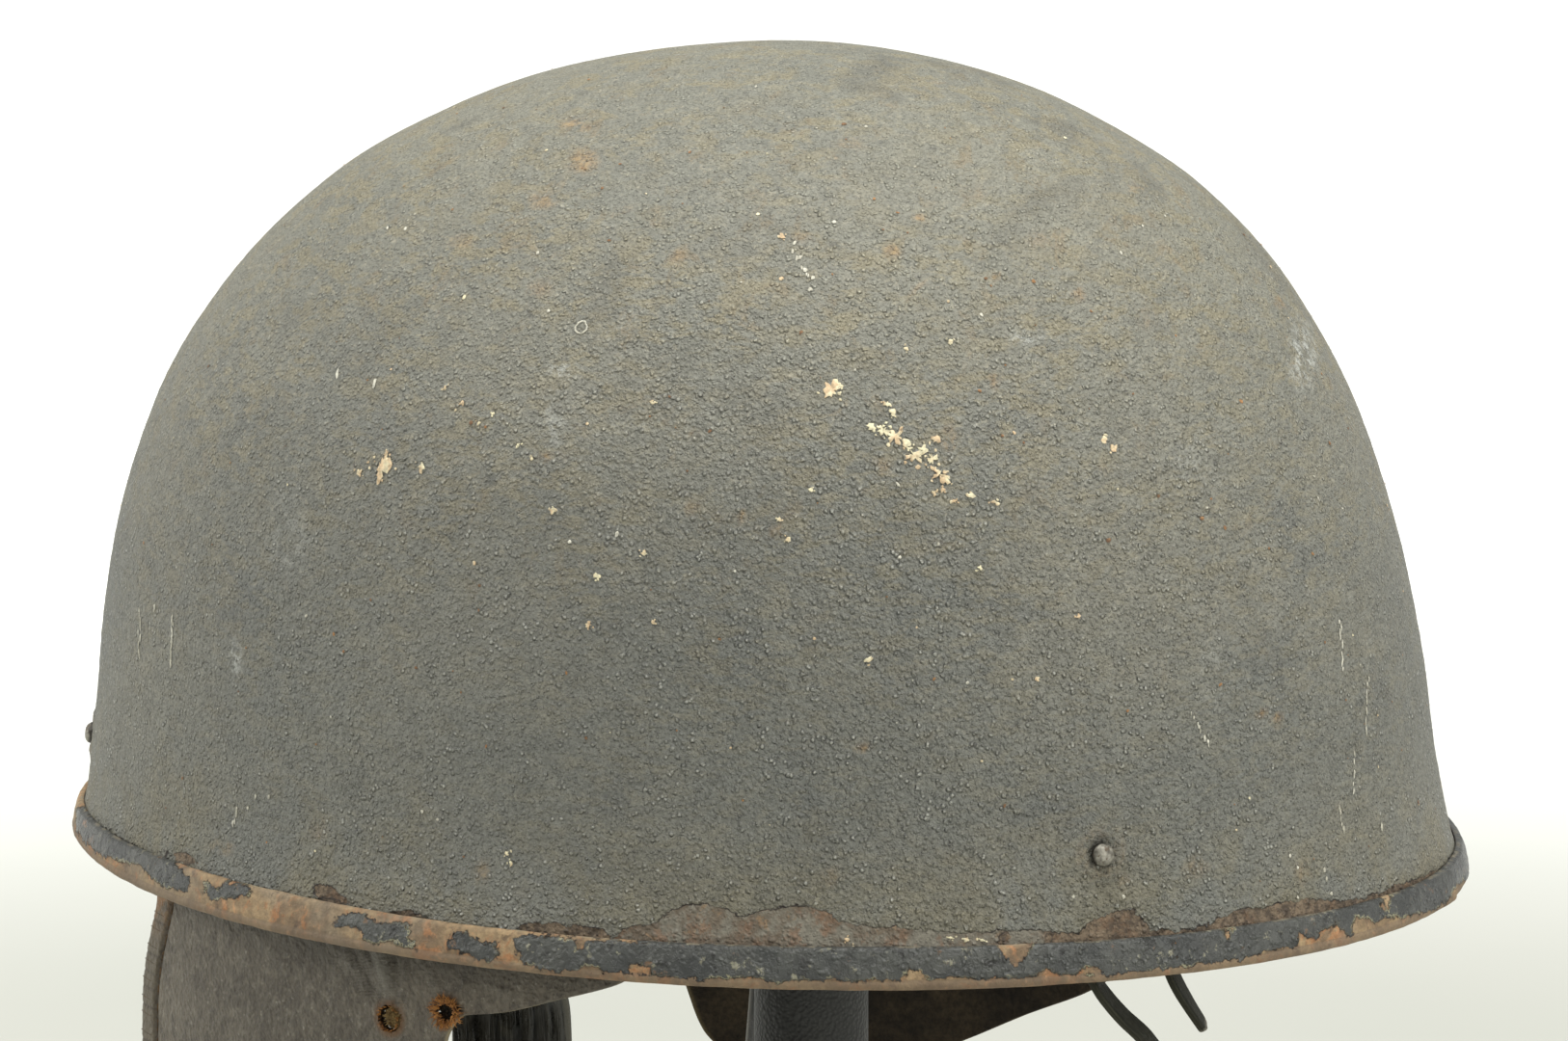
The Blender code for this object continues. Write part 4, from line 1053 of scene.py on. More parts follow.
# ================================================================= chips, drops and specks on the paint
CHIPS_PX = [
    # x, y, radius_x, radius_y, turn_deg
    (396, 487, 9, 12, 20), (400, 472, 4, 4, 0), (437, 485, 5.5, 5, 0), (373, 490, 4, 4.5, 0),
    (863, 404, 9, 8, 10), (920, 420, 4, 4, 0), (925, 428, 4, 4.5, 0), (904, 443, 5, 3.5, 20),
    (916, 447, 7, 5, 35), (927, 453, 9, 6, 38), (939, 460, 6, 5, 30), (948, 473, 9.5, 7.5, 0),
    (957, 466, 5, 5, 0), (966, 476, 5, 7, 0), (971, 457, 5, 4, 0), (974, 493, 9, 7, 30),
    (980, 499, 5, 4, 40), (977, 509, 3.5, 3, 0), (968, 511, 2.5, 2, 0), (1006, 515, 5, 3.5, 0),
    (1032, 522, 4, 2.2, 20), (1145, 456, 4, 4, 0), (1155, 465, 4.5, 4, 0), (940, 362, 3, 3, 0),
    (985, 355, 3.5, 3, 0), (810, 245, 4, 3.5, 0), (808, 539, 3, 3, 0), (676, 418, 3, 2.6, 0),
    (678, 646, 2.4, 2.4, 0), (574, 530, 4, 3.4, 0), (619, 597, 4, 3.6, 0), (611, 648, 3.8, 3.6, 0),
    (668, 574, 4, 2.6, 0), (817, 560, 3, 3, 0), (530, 895, 2.6, 4, 0), (526, 885, 2.6, 2.6, 0),
    (1016, 589, 3, 3, 0), (841, 509, 2.6, 2.6, 0), (989, 520, 3.4, 3, 0), (900, 684, 3, 4, 60),
    (462, 402, 2.6, 2.6, 0), (480, 418, 2.2, 2.2, 0), (497, 440, 2.6, 2.2, 0), (512, 430, 2, 2, 0),
    (538, 462, 2.6, 2.2, 0), (552, 476, 2.2, 2.2, 0), (1118, 640, 2.4, 2.4, 0), (1075, 705, 2.2, 2.2, 0),
    (1219, 996, 4, 6, 0), (1224, 990, 3, 3.5, 0), (762, 992, 3, 3, 0), (790, 998, 5, 3.5, 0),
    (783, 1015, 4, 3, 0), (884, 984, 4, 3, 0), (878, 975, 3, 2.5, 0), (348, 961, 3.5, 2.6, 0),
    (390, 964, 3, 2, 0), (1018, 975, 4.5, 1.8, 10), (985, 973, 5, 2, 5), (1002, 975, 4, 2, 5),
]
DROPS_PX = [
    # x, y, radius_x, radius_y, turn_deg
    (350, 388, 2.6, 5, 10), (388, 398, 2.4, 5, 10), (865, 230, 2.6, 2.4, 0), (824, 252, 1.8, 2.4, 20),
    (829, 267, 2.6, 3.2, 20), (835, 280, 2.6, 2.6, 0), (843, 288, 2, 2.4, 0), (840, 300, 2.8, 2.4, 0),
    (558, 263, 2, 2, 0), (569, 323, 2, 2, 0), (640, 554, 1.8, 3, 10), (591, 562, 2, 2, 0),
    (931, 503, 3.4, 1.4, 55), (887, 384, 1.8, 1.8, 0), (933, 578, 1.8, 1.8, 0), (242, 855, 2, 2, 0),
    (266, 826, 2, 2, 0), (280, 827, 2, 2, 0), (258, 838, 1.8, 1.8, 0), (438, 842, 2, 2, 0),
    (454, 850, 2, 2, 0), (1432, 858, 1.8, 4, 0), (1373, 903, 1.8, 2.6, 0), (1375, 912, 1.6, 2.4, 0),
    (1380, 927, 2.2, 2, 0), (1345, 931, 1.8, 1.6, 0), (160, 630, 2, 2.6, 0), (421, 238, 2, 2, 0),
    (402, 237, 1.6, 1.6, 0), (1162, 263, 1.8, 1.8, 0), (898, 132, 1.8, 1.6, 0), (784, 91, 1.6, 1.4, 0),
    (1165, 930, 2, 2, 0), (1113, 930, 2, 2, 0), (1345, 900, 1.6, 1.6, 0), (1337, 888, 1.8, 1.8, 0),
]
DRIPS_PX = [
    # x_top, y_top, x_bottom, y_bottom, dots
    (145, 632, 144, 682, 10), (179, 640, 176, 692, 11), (1388, 640, 1392, 700, 9),
    (1418, 700, 1416, 760, 7), (1389, 838, 1393, 864, 7), (1235, 738, 1255, 776, 8),
    (1405, 780, 1402, 826, 6), (820, 258, 842, 292, 5), (246, 838, 242, 858, 4),
]
RING_PX = (603, 340, 6.5)      # a pale ring left by a drop: x, y, radius


class Flecks:
    """Thin flecks of paint or whitewash that follow the shell."""

    def __init__(self):
        self.verts, self.faces = [], []

    def add(self, place, normal, rx, ry, turn, thick, ragged, rings=3, sectors=14, hole=0.0):
        n = Vector(normal).normalized()
        right = Vector(RIGHT)
        u = (right - n * right.dot(n)).normalized()
        v = n.cross(u)
        cs, sn = math.cos(math.radians(turn)), math.sin(math.radians(turn))
        u, v = u * cs - v * sn, u * sn + v * cs
        seed = RNG.uniform(0, 90)
        start = len(self.verts)
        pts = []
        steps = [hole + (1 - hole) * (k + 1) / rings for k in range(rings)] if not hole else \
            [hole + (1 - hole) * k / (rings - 1) for k in range(rings)]
        for s in steps:
            for i in range(sectors):
                a = 2 * math.pi * i / sectors
                rag = 1 + ragged * (1.3 * noise.noise(Vector((math.cos(a) * 1.6, math.sin(a) * 1.6, seed)))
                                    + 1.1 * noise.noise(Vector((math.cos(a) * 4, math.sin(a) * 4, seed))))
                pts.append(Vector(place) + (u * math.cos(a) * rx + v * math.sin(a) * ry) * s * rag)
        if not hole:
            pts.append(Vector(place))
        raw = np.array([tuple(p) for p in pts])
        nn = np.tile(np.array(n), (len(raw), 1))
        fields, ring_height = shell_fields(raw, nn)
        relief = shell_relief(raw, fields, ring_height)
        profile = [1.0 if k < rings - 1 else 0.15 for k in range(rings)]
        if hole:
            profile[0] = 0.15
        lift = [profile[k // sectors] for k in range(rings * sectors)] + ([1.0] if not hole else [])
        for p, r, q in zip(raw, relief, lift):
            self.verts.append(tuple(p + np.array(n) * (r + 0.10 + thick * q) * MM))
        self.faces += [list(f) for f in grid_faces(rings, sectors, wrap=True, start=start, flip=True)]
        if not hole:
            centre = start + rings * sectors
            for i in range(sectors):
                self.faces.append([centre, start + i, start + (i + 1) % sectors])

    def from_px(self, x, y, rx, ry, turn, thick, ragged, **more):
        p = on_shell(x, y)
        if p is None:
            return
        n = level_normal(p)
        tilt = max(float(np.dot(n, BACK)), 0.35)
        # a radius across the view keeps its size, one down the view is seen at a slant
        self.add(p, n, rx / PX_PER_MM * MM, ry / PX_PER_MM * MM / max(tilt, 0.5), turn, thick, ragged, **more)

    def build(self, name, mat):
        return mesh_object(name, self.verts, self.faces, mat)


def make_flecks():
    cream, white, rust = Flecks(), Flecks(), Flecks()
    for x, y, rx, ry, turn in CHIPS_PX:
        big = max(rx, ry) > 6
        cream.from_px(x, y, rx * 0.80, ry * 0.76, turn, 0.12, 0.85 if big else 0.60,
                      rings=5 if big else 3, sectors=34 if big else 13)
        # crumbs round each one
        for _ in range(7 if big else 2):
            a, far = RNG.uniform(0, 2 * math.pi), RNG.uniform(0.95, 1.7)
            size = RNG.uniform(0.7, 1.9 if big else 1.2)
            cream.from_px(x + math.cos(a) * rx * far, y + math.sin(a) * ry * far, size, size * RNG.uniform(0.6, 1.3),
                          RNG.uniform(0, 180), 0.10, 0.5, rings=2, sectors=8)
    for x, y, rx, ry, turn in DROPS_PX:
        white.from_px(x, y, rx * 0.85, ry * 0.85, turn, 0.12, 0.4, sectors=10)
    for x0, y0, x1, y1, dots in DRIPS_PX:
        for k in range(dots):
            t = (k + RNG.uniform(0.1, 0.9)) / dots
            white.from_px(x0 + (x1 - x0) * t + RNG.uniform(-1.2, 1.2), y0 + (y1 - y0) * t,
                          RNG.uniform(0.7, 1.5), RNG.uniform(1.2, 3.4), RNG.uniform(-10, 10), 0.12, 0.3,
                          rings=2, sectors=8)
    white.from_px(RING_PX[0], RING_PX[1], RING_PX[2], RING_PX[2], 0, 0.08, 0.12,
                  rings=4, sectors=26, hole=0.74)
    # small specks all round
    for k in range(460):
        angle = RNG.uniform(0, 2 * math.pi)
        h = RNG.uniform(12, 152)
        p = plan_points(h, angle)
        n = shell_normals(h, angle)
        r = 0.13 * math.exp(RNG.uniform(0, 1.15)) * MM
        target = (cream, rust, rust, rust, white)[k % 5]
        if target is white:
            r *= 0.75
        target.add(p, n, r, r * RNG.uniform(0.7, 1.4), RNG.uniform(0, 180), 0.08, 0.35, rings=2, sectors=7)
    cream.build("chips_cream", chip_material("old_filler", (0.72, 0.66, 0.45), (0.60, 0.44, 0.27), 0.75))
    white.build("drops_white", chip_material("dried_drops", (0.62, 0.60, 0.51), (0.44, 0.42, 0.34), 0.6))
    rust.build("specks_rust", chip_material("rust_specks", (0.34, 0.18, 0.075), (0.17, 0.095, 0.05), 0.8))


# ================================================================= the folded rim
# Paint left on the rim, and rust showing through it: outlines in photo pixels.
PAINT_PX = [
    [(78, 838), (98, 842), (121, 858), (140, 870), (165, 883), (188, 901), (196, 912), (194, 925),
     (181, 924), (165, 917), (156, 909), (146, 898), (129, 895), (108, 889), (92, 876), (80, 862)],
    [(210, 912), (219, 916), (226, 922), (235, 916), (251, 916), (262, 922), (259, 930), (239, 932),
     (219, 932), (211, 924)],
    [(347, 960), (353, 950), (373, 948), (392, 957), (411, 957), (424, 960), (425, 973), (430, 984),
     (420, 983), (404, 976), (388, 979), (376, 973), (373, 962), (362, 959), (349, 965)],
    [(465, 976), (471, 967), (484, 967), (497, 979), (513, 976), (518, 989), (516, 1002), (503, 999),
     (487, 989), (471, 986), (463, 986)],
    [(533, 974), (560, 968), (602, 975), (640, 978), (700, 976), (900, 976), (1032, 976), (1040, 990),
     (1055, 1005), (1064, 990), (1074, 974), (1270, 960), (1347, 950), (1430, 926), (1480, 900),
     (1505, 872), (1515, 848), (1540, 848), (1534, 905), (1512, 918), (1497, 939), (1474, 947), (1444, 952), (1428, 957),
     (1419, 952), (1407, 952), (1400, 971), (1393, 968), (1387, 959), (1370, 966), (1364, 975),
     (1354, 973), (1348, 967), (1342, 981), (1300, 992), (1235, 1002), (1160, 1009), (1094, 1012),
     (1088, 1006), (1074, 1013), (960, 1016), (955, 1008), (942, 1004), (934, 1017), (800, 1017),
     (700, 1014), (640, 1010), (600, 1008), (560, 1006), (545, 1000), (538, 985)],
]
BAND_RUST_PX = [
    [(598, 972), (608, 969), (606, 982), (598, 986)],
    [(1267, 962), (1279, 962), (1275, 973), (1270, 973)],
    [(1213, 978), (1219, 978), (1223, 996), (1217, 994)],
    [(1434, 930), (1440, 930), (1440, 943), (1435, 942)],
    [(590, 1008), (615, 1003), (640, 1012), (590, 1014)],
    [(1120, 1004), (1140, 1003), (1150, 1012), (1118, 1014)],
    [(655, 1001), (672, 1000), (676, 1012), (652, 1012)],
]


def make_band():
    """The folded strip: lip, slightly round outer face, rolled underside and inner leg."""
    outer = 0.3 + BAND_WALL
    inner = -(STEEL / MM + 0.5)
    section = [(0.30, 8.05), (0.36, 8.45), (0.62, 8.62), (0.98, 8.60), (1.34, 8.40), (1.55, 8.05)]
    section += [(outer + 0.16 * math.sin(math.pi * (7.8 - h) / 5.9), h) for h in np.arange(7.7, 2.1, -0.42)]
    section += [(outer - 0.02, 2.05), (outer + 0.06, 1.65), (outer + 0.02, 1.15), (outer - 0.22, 0.66),
                (outer - 0.66, 0.24), (outer - 1.3, 0.02), (outer - 2.2, 0.0), (inner + 0.6, 0.0),
                (inner - 0.1, 0.02), (inner - 0.52, 0.24), (inner - 0.82, 0.66), (inner - 0.98, 1.2),
                (inner - 1.0, 2.4), (inner - 1.0, 4.0), (inner - 1.0, 5.7), (inner - 0.8, BAND_INNER_H),
                (inner - 0.2, BAND_INNER_H), (inner, 5.7), (inner, 1.25), (0.3, 1.25)]
    section = np.array(section)
    count, columns = len(section), 880
    half_gap = BAND_JOINT_GAP / 2 / 134.8
    mean = math.radians(BAND_JOINT_DEG)
    # more columns where the photo looks
    t = np.linspace(0, 1, 6001)
    angle = mean + half_gap + (2 * math.pi - 2 * half_gap) * t
    off = np.abs((np.degrees(angle) - 27.0 + 180) % 360 - 180)
    density = 1 / (0.62 + 1.1 * smoothstep(off, 84, 104))
    total = np.concatenate([[0], np.cumsum((density[1:] + density[:-1]) / 2)])
    angles = np.interp(np.linspace(0, total[-1], columns), total, angle)
    aa, kk = np.meshgrid(angles, np.arange(count), indexing="ij")
    aa, kk = aa.ravel(), kk.ravel()
    offs, hs = section[kk, 0], section[kk, 1]
    ring = np.stack([np.cos(aa), np.sin(aa), np.zeros(len(aa))], axis=-1)
    # beaten strip: gentle waves of the lip and the roll
    wave = 0.20 * noise3(ring, 9.0, 2.2) + 0.12 * noise3(ring, 40.0, 6.1)
    hs = hs + np.where(hs > 6.5, wave, 0.0) + np.where(hs < 2.2, 0.10 * noise3(ring, 28.0, 4.4), 0.0)
    hs = np.maximum(hs, 0.0)
    # the strip is narrower towards the brow and the nape than along the sides
    turn = np.degrees(np.arcsin(np.clip(ring[:, 1], -1, 1)))
    narrow = np.interp(turn, [-90, -68, -50, -35, -20, -7, 5, 30, 60, 90],
                       [0.52, 0.55, 0.70, 0.80, 0.84, 0.80, 0.80, 0.86, 0.78, 0.68])
    narrow = narrow - 0.18 * np.exp(-(((np.degrees(aa) % 360 - 116) / 16) ** 2))
    hs = np.where((hs > 1.7) & (offs > 0), 1.7 + (hs - 1.7) * narrow, hs)
    drop_mm = 0.75 * smoothstep(-turn, -8.0, 30.0)
    face = (kk >= 4) & (kk <= 24)
    bulge = np.where(face, 0.16 * noise3(ring, 14.0, 8.8) + 0.08 * noise3(ring, 60.0, 3.3), 0.0)
    # near the nape the end of the strip laps outward
    lap = np.exp(-((((np.degrees(aa) - BAND_JOINT_DEG) % 360) / 5.0) ** 2))
    lap2 = np.exp(-((((BAND_JOINT_DEG - np.degrees(aa)) % 360) / 3.0) ** 2))
    bulge = bulge + np.where(face, 0.75 * lap2 + 0.15 * lap, 0.0)
    points = plan_points(np.maximum(hs, 0.0), aa, -(offs + bulge))
    outward = plan_points(np.maximum(hs, 0.0), aa, -(offs + bulge + 1.0)) - points
    outward /= np.linalg.norm(outward, axis=1)[:, None]
    points[:, 2] -= drop_mm * MM
    px = to_px(points)
    facing = np.einsum("ij,ij->i", outward, np.tile(BACK, (len(points), 1)))
    seen = (facing > 0.0) & face
    paint = np.full(len(points), -6.0)
    for outline in PAINT_PX:
        paint[seen] = np.maximum(paint[seen], outline_distance(px[seen], outline) / PX_PER_MM)
    for outline in BAND_RUST_PX:
        paint[seen] = np.minimum(paint[seen], -outline_distance(px[seen], outline) / PX_PER_MM)
    hidden = face & ~seen
    strip_noise = noise3(ring[hidden], 16.0, 12.5) + 0.5 * noise3(
        np.stack([ring[hidden][:, 0], ring[hidden][:, 1], hs[hidden] * 0.03], axis=-1), 45.0, 1.5)
    # the front third is mostly bare, the far side mostly painted, as on the side that shows
    front = smoothstep(-ring[hidden][:, 1], 0.2, 0.8)
    paint[hidden] = np.minimum(3.2 * (strip_noise + 0.32 - 0.75 * front), (hs[hidden] - 2.0) * 1.2)
    # the lip is painted where the top of the face is
    paint = paint.reshape(columns, count)
    paint[:, 1:4] = paint[:, 4:5]
    paint = paint.ravel()
    relief = 0.16 * smoothstep(paint, -0.3, 0.3) + 0.05 * noise3(points, 400, 9.0)
    relief = np.where(face, relief, 0.0)
    verts = points + outward * (relief * MM)[:, None]
    # the top lip: partly wear, partly a painted highlight
    lip = np.where((kk >= 2) & (kk <= 3), 0.62, 0.0)
    roll = np.where(hs < 2.0, 1.0, 0.0) * face
    # the joint against the shell: painted shade and dirt
    joint_shade_and_dirt = np.where(kk <= 1, 1.0, 0.0)
    faces = [list(f) for f in grid_faces(columns, count, wrap=True)]
    faces.append(list(range(count))[::-1])
    faces.append([(columns - 1) * count + i for i in range(count)])
    band = mesh_object("rim_strip", verts, faces, band_material(),
                       {"paint": paint, "lip": lip, "joint_shade_and_dirt": joint_shade_and_dirt, "roll": roll}, sharp=60)
    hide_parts("rim_band")


# ================================================================= rivets
def make_rivets():
    mat = rivet_material()
    head_r, shank_r, tail_r = 2.15 * MM, 1.5 * MM, 4.0 * MM
    for name, side, angle_deg, height_mm in RIVETS:
        place, axis = rivet_place(side, angle_deg, height_mm)
        profile, rim = [], []
        # rim marks where the head's edge and the shank get painted shade
        for k in range(1, 12):
            a = math.radians(90 * k / 11)
            flatten = 1.0 - 0.10 * math.cos(a) ** 6
            profile.append((head_r * math.sin(a), GAP + 1.7 * MM * math.cos(a) * flatten))
            rim.append(float(smoothstep(k, 7.5, 10)))
        profile += [(head_r * 0.98, GAP * 0.4), (shank_r, GAP * 0.3), (shank_r, -8.6 * MM),
                    (tail_r * 0.97, -8.6 * MM), (tail_r, -8.9 * MM), (tail_r, -9.3 * MM),
                    (tail_r * 0.94, -9.6 * MM)]
        rim += [1.0, 1.0, 0.5, 0.2, 0.2, 0.2, 0.1]
        rivet = lathe("head_" + name, place, axis, profile, 36, mat,
                      {"side": rim}, sharp=45, wobble=0.05)
        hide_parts(name)


# ================================================================= leather flaps
CREASE_PX = [
    # line, height in mm, half width in px
    ([(386, 976), (392, 994), (398, 1014), (402, 1034)], 1.10, 8.0),
    ([(366, 978), (375, 996), (386, 1018), (394, 1038)], 0.55, 4.5),
    ([(352, 980), (361, 996), (372, 1014), (382, 1034)], 0.42, 4.0),
    ([(334, 974), (346, 988), (358, 1006), (368, 1024)], 0.30, 4.0),
    ([(411, 990), (413, 1010), (415, 1036)], 0.40, 4.5),
    ([(310, 966), (330, 984), (344, 1004), (350, 1022)], 0.22, 4.5),
    ([(430, 996), (444, 1014), (452, 1032)], 0.25, 4.5),
    ([(250, 962), (280, 990), (300, 1020)], 0.16, 5.0),
    ([(500, 1016), (512, 1026), (528, 1034)], 0.18, 4.5),
]


def leather_points(y, h, inset, lean):
    """Points of a vertical sheet inside the wall; y from the axis line, mm."""
    front, rear, half = (float(v) for v in reach(LEATHER_SECTION_H))
    front, rear, half = front - inset, rear - inset, half - inset
    ly = np.where(y < 0, front, rear)
    share = np.minimum(np.abs(y) / ly, 0.999)
    x = half * (1 - share**SQUARENESS) ** (1 / SQUARENESS)
    nx = (x / half) ** (SQUARENESS - 1) / half
    ny = np.sign(y) * share ** (SQUARENESS - 1) / ly
    length = np.hypot(nx, ny)
    nx, ny = nx / length, ny / length
    points = np.stack([(x + lean * nx) * MM, AXIS_Y + (y + lean * ny) * MM, RIM_Z + h * MM], axis=-1)
    return points, np.stack([nx, ny, np.zeros_like(nx)], axis=-1)


def make_flap(node, table, side, held_text):
    heights = [r[0] for r in reversed(table)]

    def column(k, h):
        values = [r[k] for r in reversed(table)]
        return np.array([monotone(heights, values, v) for v in h])

    low = table[-1][0]
    rows = np.concatenate([np.linspace(34, 6, 15)[:-1], np.arange(6.0, low, -0.55), [low]])
    y0, y1, l0, l1 = (column(k, rows) for k in (1, 2, 3, 4))
    # the table's last row is a short straight end: round it
    cols = 236
    t = np.linspace(0, 1, cols)
    y = y0[:, None] + (y1 - y0)[:, None] * t[None, :]
    h = np.repeat(rows[:, None], cols, axis=1)
    lean = l0[:, None] + (l1 - l0)[:, None] * (t**0.6)[None, :]
    drop = (1 - (2 * t - 1) ** 2) * 1.6 - 1.6
    near_end = smoothstep(low - rows, -9.0, 0.0)[:, None]
    h = h - drop[None, :] * near_end * 0.9

    # snap the vertices next to a hole onto its outline
    removed = np.zeros(y.shape, bool)
    stain = np.zeros(y.shape)
    hole_lip = np.zeros(y.shape)
    for hole_node, hy, hz, radius, torn in HEARING_HOLES_MM:
        if hole_node != node:
            continue
        dy, dz = y - hy, h - hz
        d = np.hypot(dy, dz)
        a = np.arctan2(dz, dy)
        ragged = np.array([
            noise.noise(Vector((math.cos(v) * 1.5, math.sin(v) * 1.5, hy)))
            + 0.8 * noise.noise(Vector((math.cos(v) * 4.5, math.sin(v) * 4.5, hy))) for v in a.ravel()
        ]).reshape(a.shape) if torn else 0.0
        outline = radius * (1 + torn * 2.2 * ragged)
        close = np.abs(d - outline) < 0.32
        y = np.where(close, hy + np.cos(a) * outline, y)
        h = np.where(close, hz + np.sin(a) * outline, h)
        removed |= (d < outline - 0.32)
        stain = np.maximum(stain, 1 - smoothstep(d, radius + 0.2, radius + (2.6 if torn > 0.1 else 1.7)))
        hole_lip = np.maximum(hole_lip, 1 - smoothstep(d, radius, radius + 1.0))
    outer, normal = leather_points(y, h, LEATHER_INSET, lean)
    inner, _ = leather_points(y, h, LEATHER_INSET + LEATHER_MM, lean)
    outer = outer * np.array([side, 1, 1])
    inner = inner * np.array([side, 1, 1])
    normal = normal * np.array([side, 1, 1])

    # distances along the sheet from its front and rear edges, mm
    run = np.concatenate([np.zeros((len(rows), 1)),
                          np.cumsum(np.linalg.norm(np.diff(outer, axis=1), axis=2), axis=1)], axis=1) / MM
    from_front, from_rear = run, run[:, -1:] - run
    from_end = (h - (low - 0.0)) * 1.0
    edge = np.minimum(np.minimum(from_front, from_rear), np.maximum(from_end, 0))
    visible = 1 - smoothstep(h, 1.0, 4.0)

    # folded hem along the front edge, pressed in where its stitches run
    hem = (1 - smoothstep(from_front, 6.9, 7.9)) * visible
    groove = np.exp(-(((from_front - 7.8) / 0.55) ** 2)) * visible
    rung = np.abs(((h + 1.1 + 0.25 * noise3(outer, 60)) / 3.6) % 1 - 0.5)
    rungs = (1 - smoothstep(rung, 0.03, 0.09)) * (1 - smoothstep(from_front, 6.9, 7.6)) * visible
    edge_thread = np.exp(-(((from_front - 1.0) / 0.5) ** 2)) * visible
    wide = 0.5 * noise3(outer, 22, 3.0) + 0.22 * noise3(outer, 60, 7.0)
    small = 0.10 * noise3(outer, 190, 1.0) + 0.05 * noise3(outer, 420, 5.0)
    out_mm = 0.45 * (hem - 1) * visible - 0.45 * groove - 0.14 * rungs - 0.12 * edge_thread + small * (1 - 0.6 * hem)
    out_mm -= 0.95 * (1 - smoothstep(edge, 0.0, 1.3)) ** 2
    # creases on the left flap: raised ridges, with a painted highlight along each ridge and painted shade in the
    # trough beside it
    crease_highlight, crease_shade = np.zeros(y.shape), np.zeros(y.shape)
    if node == "flap_left":
        px = to_px(outer.reshape(-1, 3))
        for line, height_mm, half_px in CREASE_PX:
            d, share, _ = line_distance(px, line)
            fade = np.sin(np.clip(share, 0.02, 0.98) * math.pi) ** 0.6
            bump = np.exp(-((d / half_px) ** 2)) - 0.6 * np.exp(-(((d - 1.7 * half_px) / (0.6 * half_px)) ** 2))
            out_mm += (height_mm * bump * fade).reshape(y.shape)
            crease_highlight = np.maximum(crease_highlight, (np.exp(-((d / (0.8 * half_px)) ** 2)) * fade * min(height_mm, 1)).reshape(y.shape))
            crease_shade = np.maximum(crease_shade, (np.exp(-(((d - 1.6 * half_px) / (0.35 * half_px)) ** 2)) * fade
                                     * min(height_mm * 0.9, 1)).reshape(y.shape))
    out_mm += 0.25 * hole_lip * (0.5 + noise3(outer, 300, 2.0))
    wide = wide * smoothstep(-h, -2.0, 10.0)
    outer = outer + normal * ((out_mm + wide) * MM)[..., None]
    nap = 0.08 * noise3(inner, 300, 6.0) + 0.75 * (1 - smoothstep(edge, 0.0, 0.9)) ** 2 * 0.6
    inner = inner + normal * ((wide * 0.8 + nap) * MM)[..., None]

    n_rows, n_cols = y.shape
    half = n_rows * n_cols
    verts = np.vstack([outer.reshape(-1, 3), inner.reshape(-1, 3)])
    gone = removed
    quad_gone = gone[:-1, :-1] | gone[1:, :-1] | gone[:-1, 1:] | gone[1:, 1:]
    front_faces = grid_faces(n_rows, n_cols, flip=side > 0).reshape(n_rows - 1, n_cols - 1, 4)
    kept = front_faces[~quad_gone]
    faces = [list(f) for f in kept]
    faces += [[int(v) + half for v in f[::-1]] for f in kept]
    # close the cut: every edge of the outer side that has one face gets a wall
    seen_edges = {}
    for f in kept:
        for a, b in zip(f, np.roll(f, -1)):
            key = (int(min(a, b)), int(max(a, b)))
            seen_edges[key] = None if key in seen_edges else (int(a), int(b))
    for pair in seen_edges.values():
        if pair is not None:
            a, b = pair
            faces.append([b, a, a + half, b + half])
    def both(v, w):
        return np.concatenate([v.ravel(), w.ravel()])
    zero = np.zeros(y.shape)
    hem_edge = (1 - smoothstep(from_front, 0.5, 1.3)) * visible
    pale = np.where(from_front < 3.0, 3.0, edge)
    fields = {
        "edge": both(pale, pale), "hem": both(hem, hem * 0.6), "groove": both(np.maximum(groove, rungs * 0.8), zero),
        "stain": both(stain, stain), "crease_highlight": both(crease_highlight, zero), "crease_shade": both(crease_shade, zero), "inner": both(zero, zero + 1.0),
        "hem_edge": both(hem_edge, hem_edge),
    }
    used = np.zeros(len(verts), bool)
    used[np.unique(np.concatenate([np.array(f) for f in faces]))] = True
    index = np.cumsum(used) - 1
    faces = [[int(index[v]) for v in f] for f in faces]
    fields = {k: v[used] for k, v in fields.items()}
    flap = mesh_object(node + "_hide", verts[used], faces, MATS["flap"], fields, sharp=62)
    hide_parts(node)

    # stitches: a thread down the groove, and short threads across the hem
    thread = Tubes()
    for k in range(int(-low / 3.6)):
        z = -1.0 - 3.6 * k
        row = int(np.argmin(np.abs(rows - z)))
        nxt = int(np.argmin(np.abs(rows - (z - 3.0))))
        if nxt >= n_rows - 6 or row == nxt:
            break
        line = []
        for q in range(6):
            r = int(round(row + (nxt - row) * q / 5))
            c = int(np.argmin(np.abs(from_front[r] - 7.9)))
            sink = 0.35 if q in (0, 5) else -0.12
            line.append(Vector(outer[r, c] - normal[r, c] * sink * MM))
        thread.add(line, [0.20 * MM] + [0.30 * MM] * 4 + [0.20 * MM])
        if k % 1 == 0:
            line = []
            for q in range(8):
                want = 0.25 + 0.93 * q
                c = int(np.argmin(np.abs(from_front[row] - want)))
                line.append(Vector(outer[row, c] + normal[row, c] * (-0.02 if 0 < q < 7 else -0.4) * MM))
            thread.add(line, [0.07 * MM] * 8, sides=5)
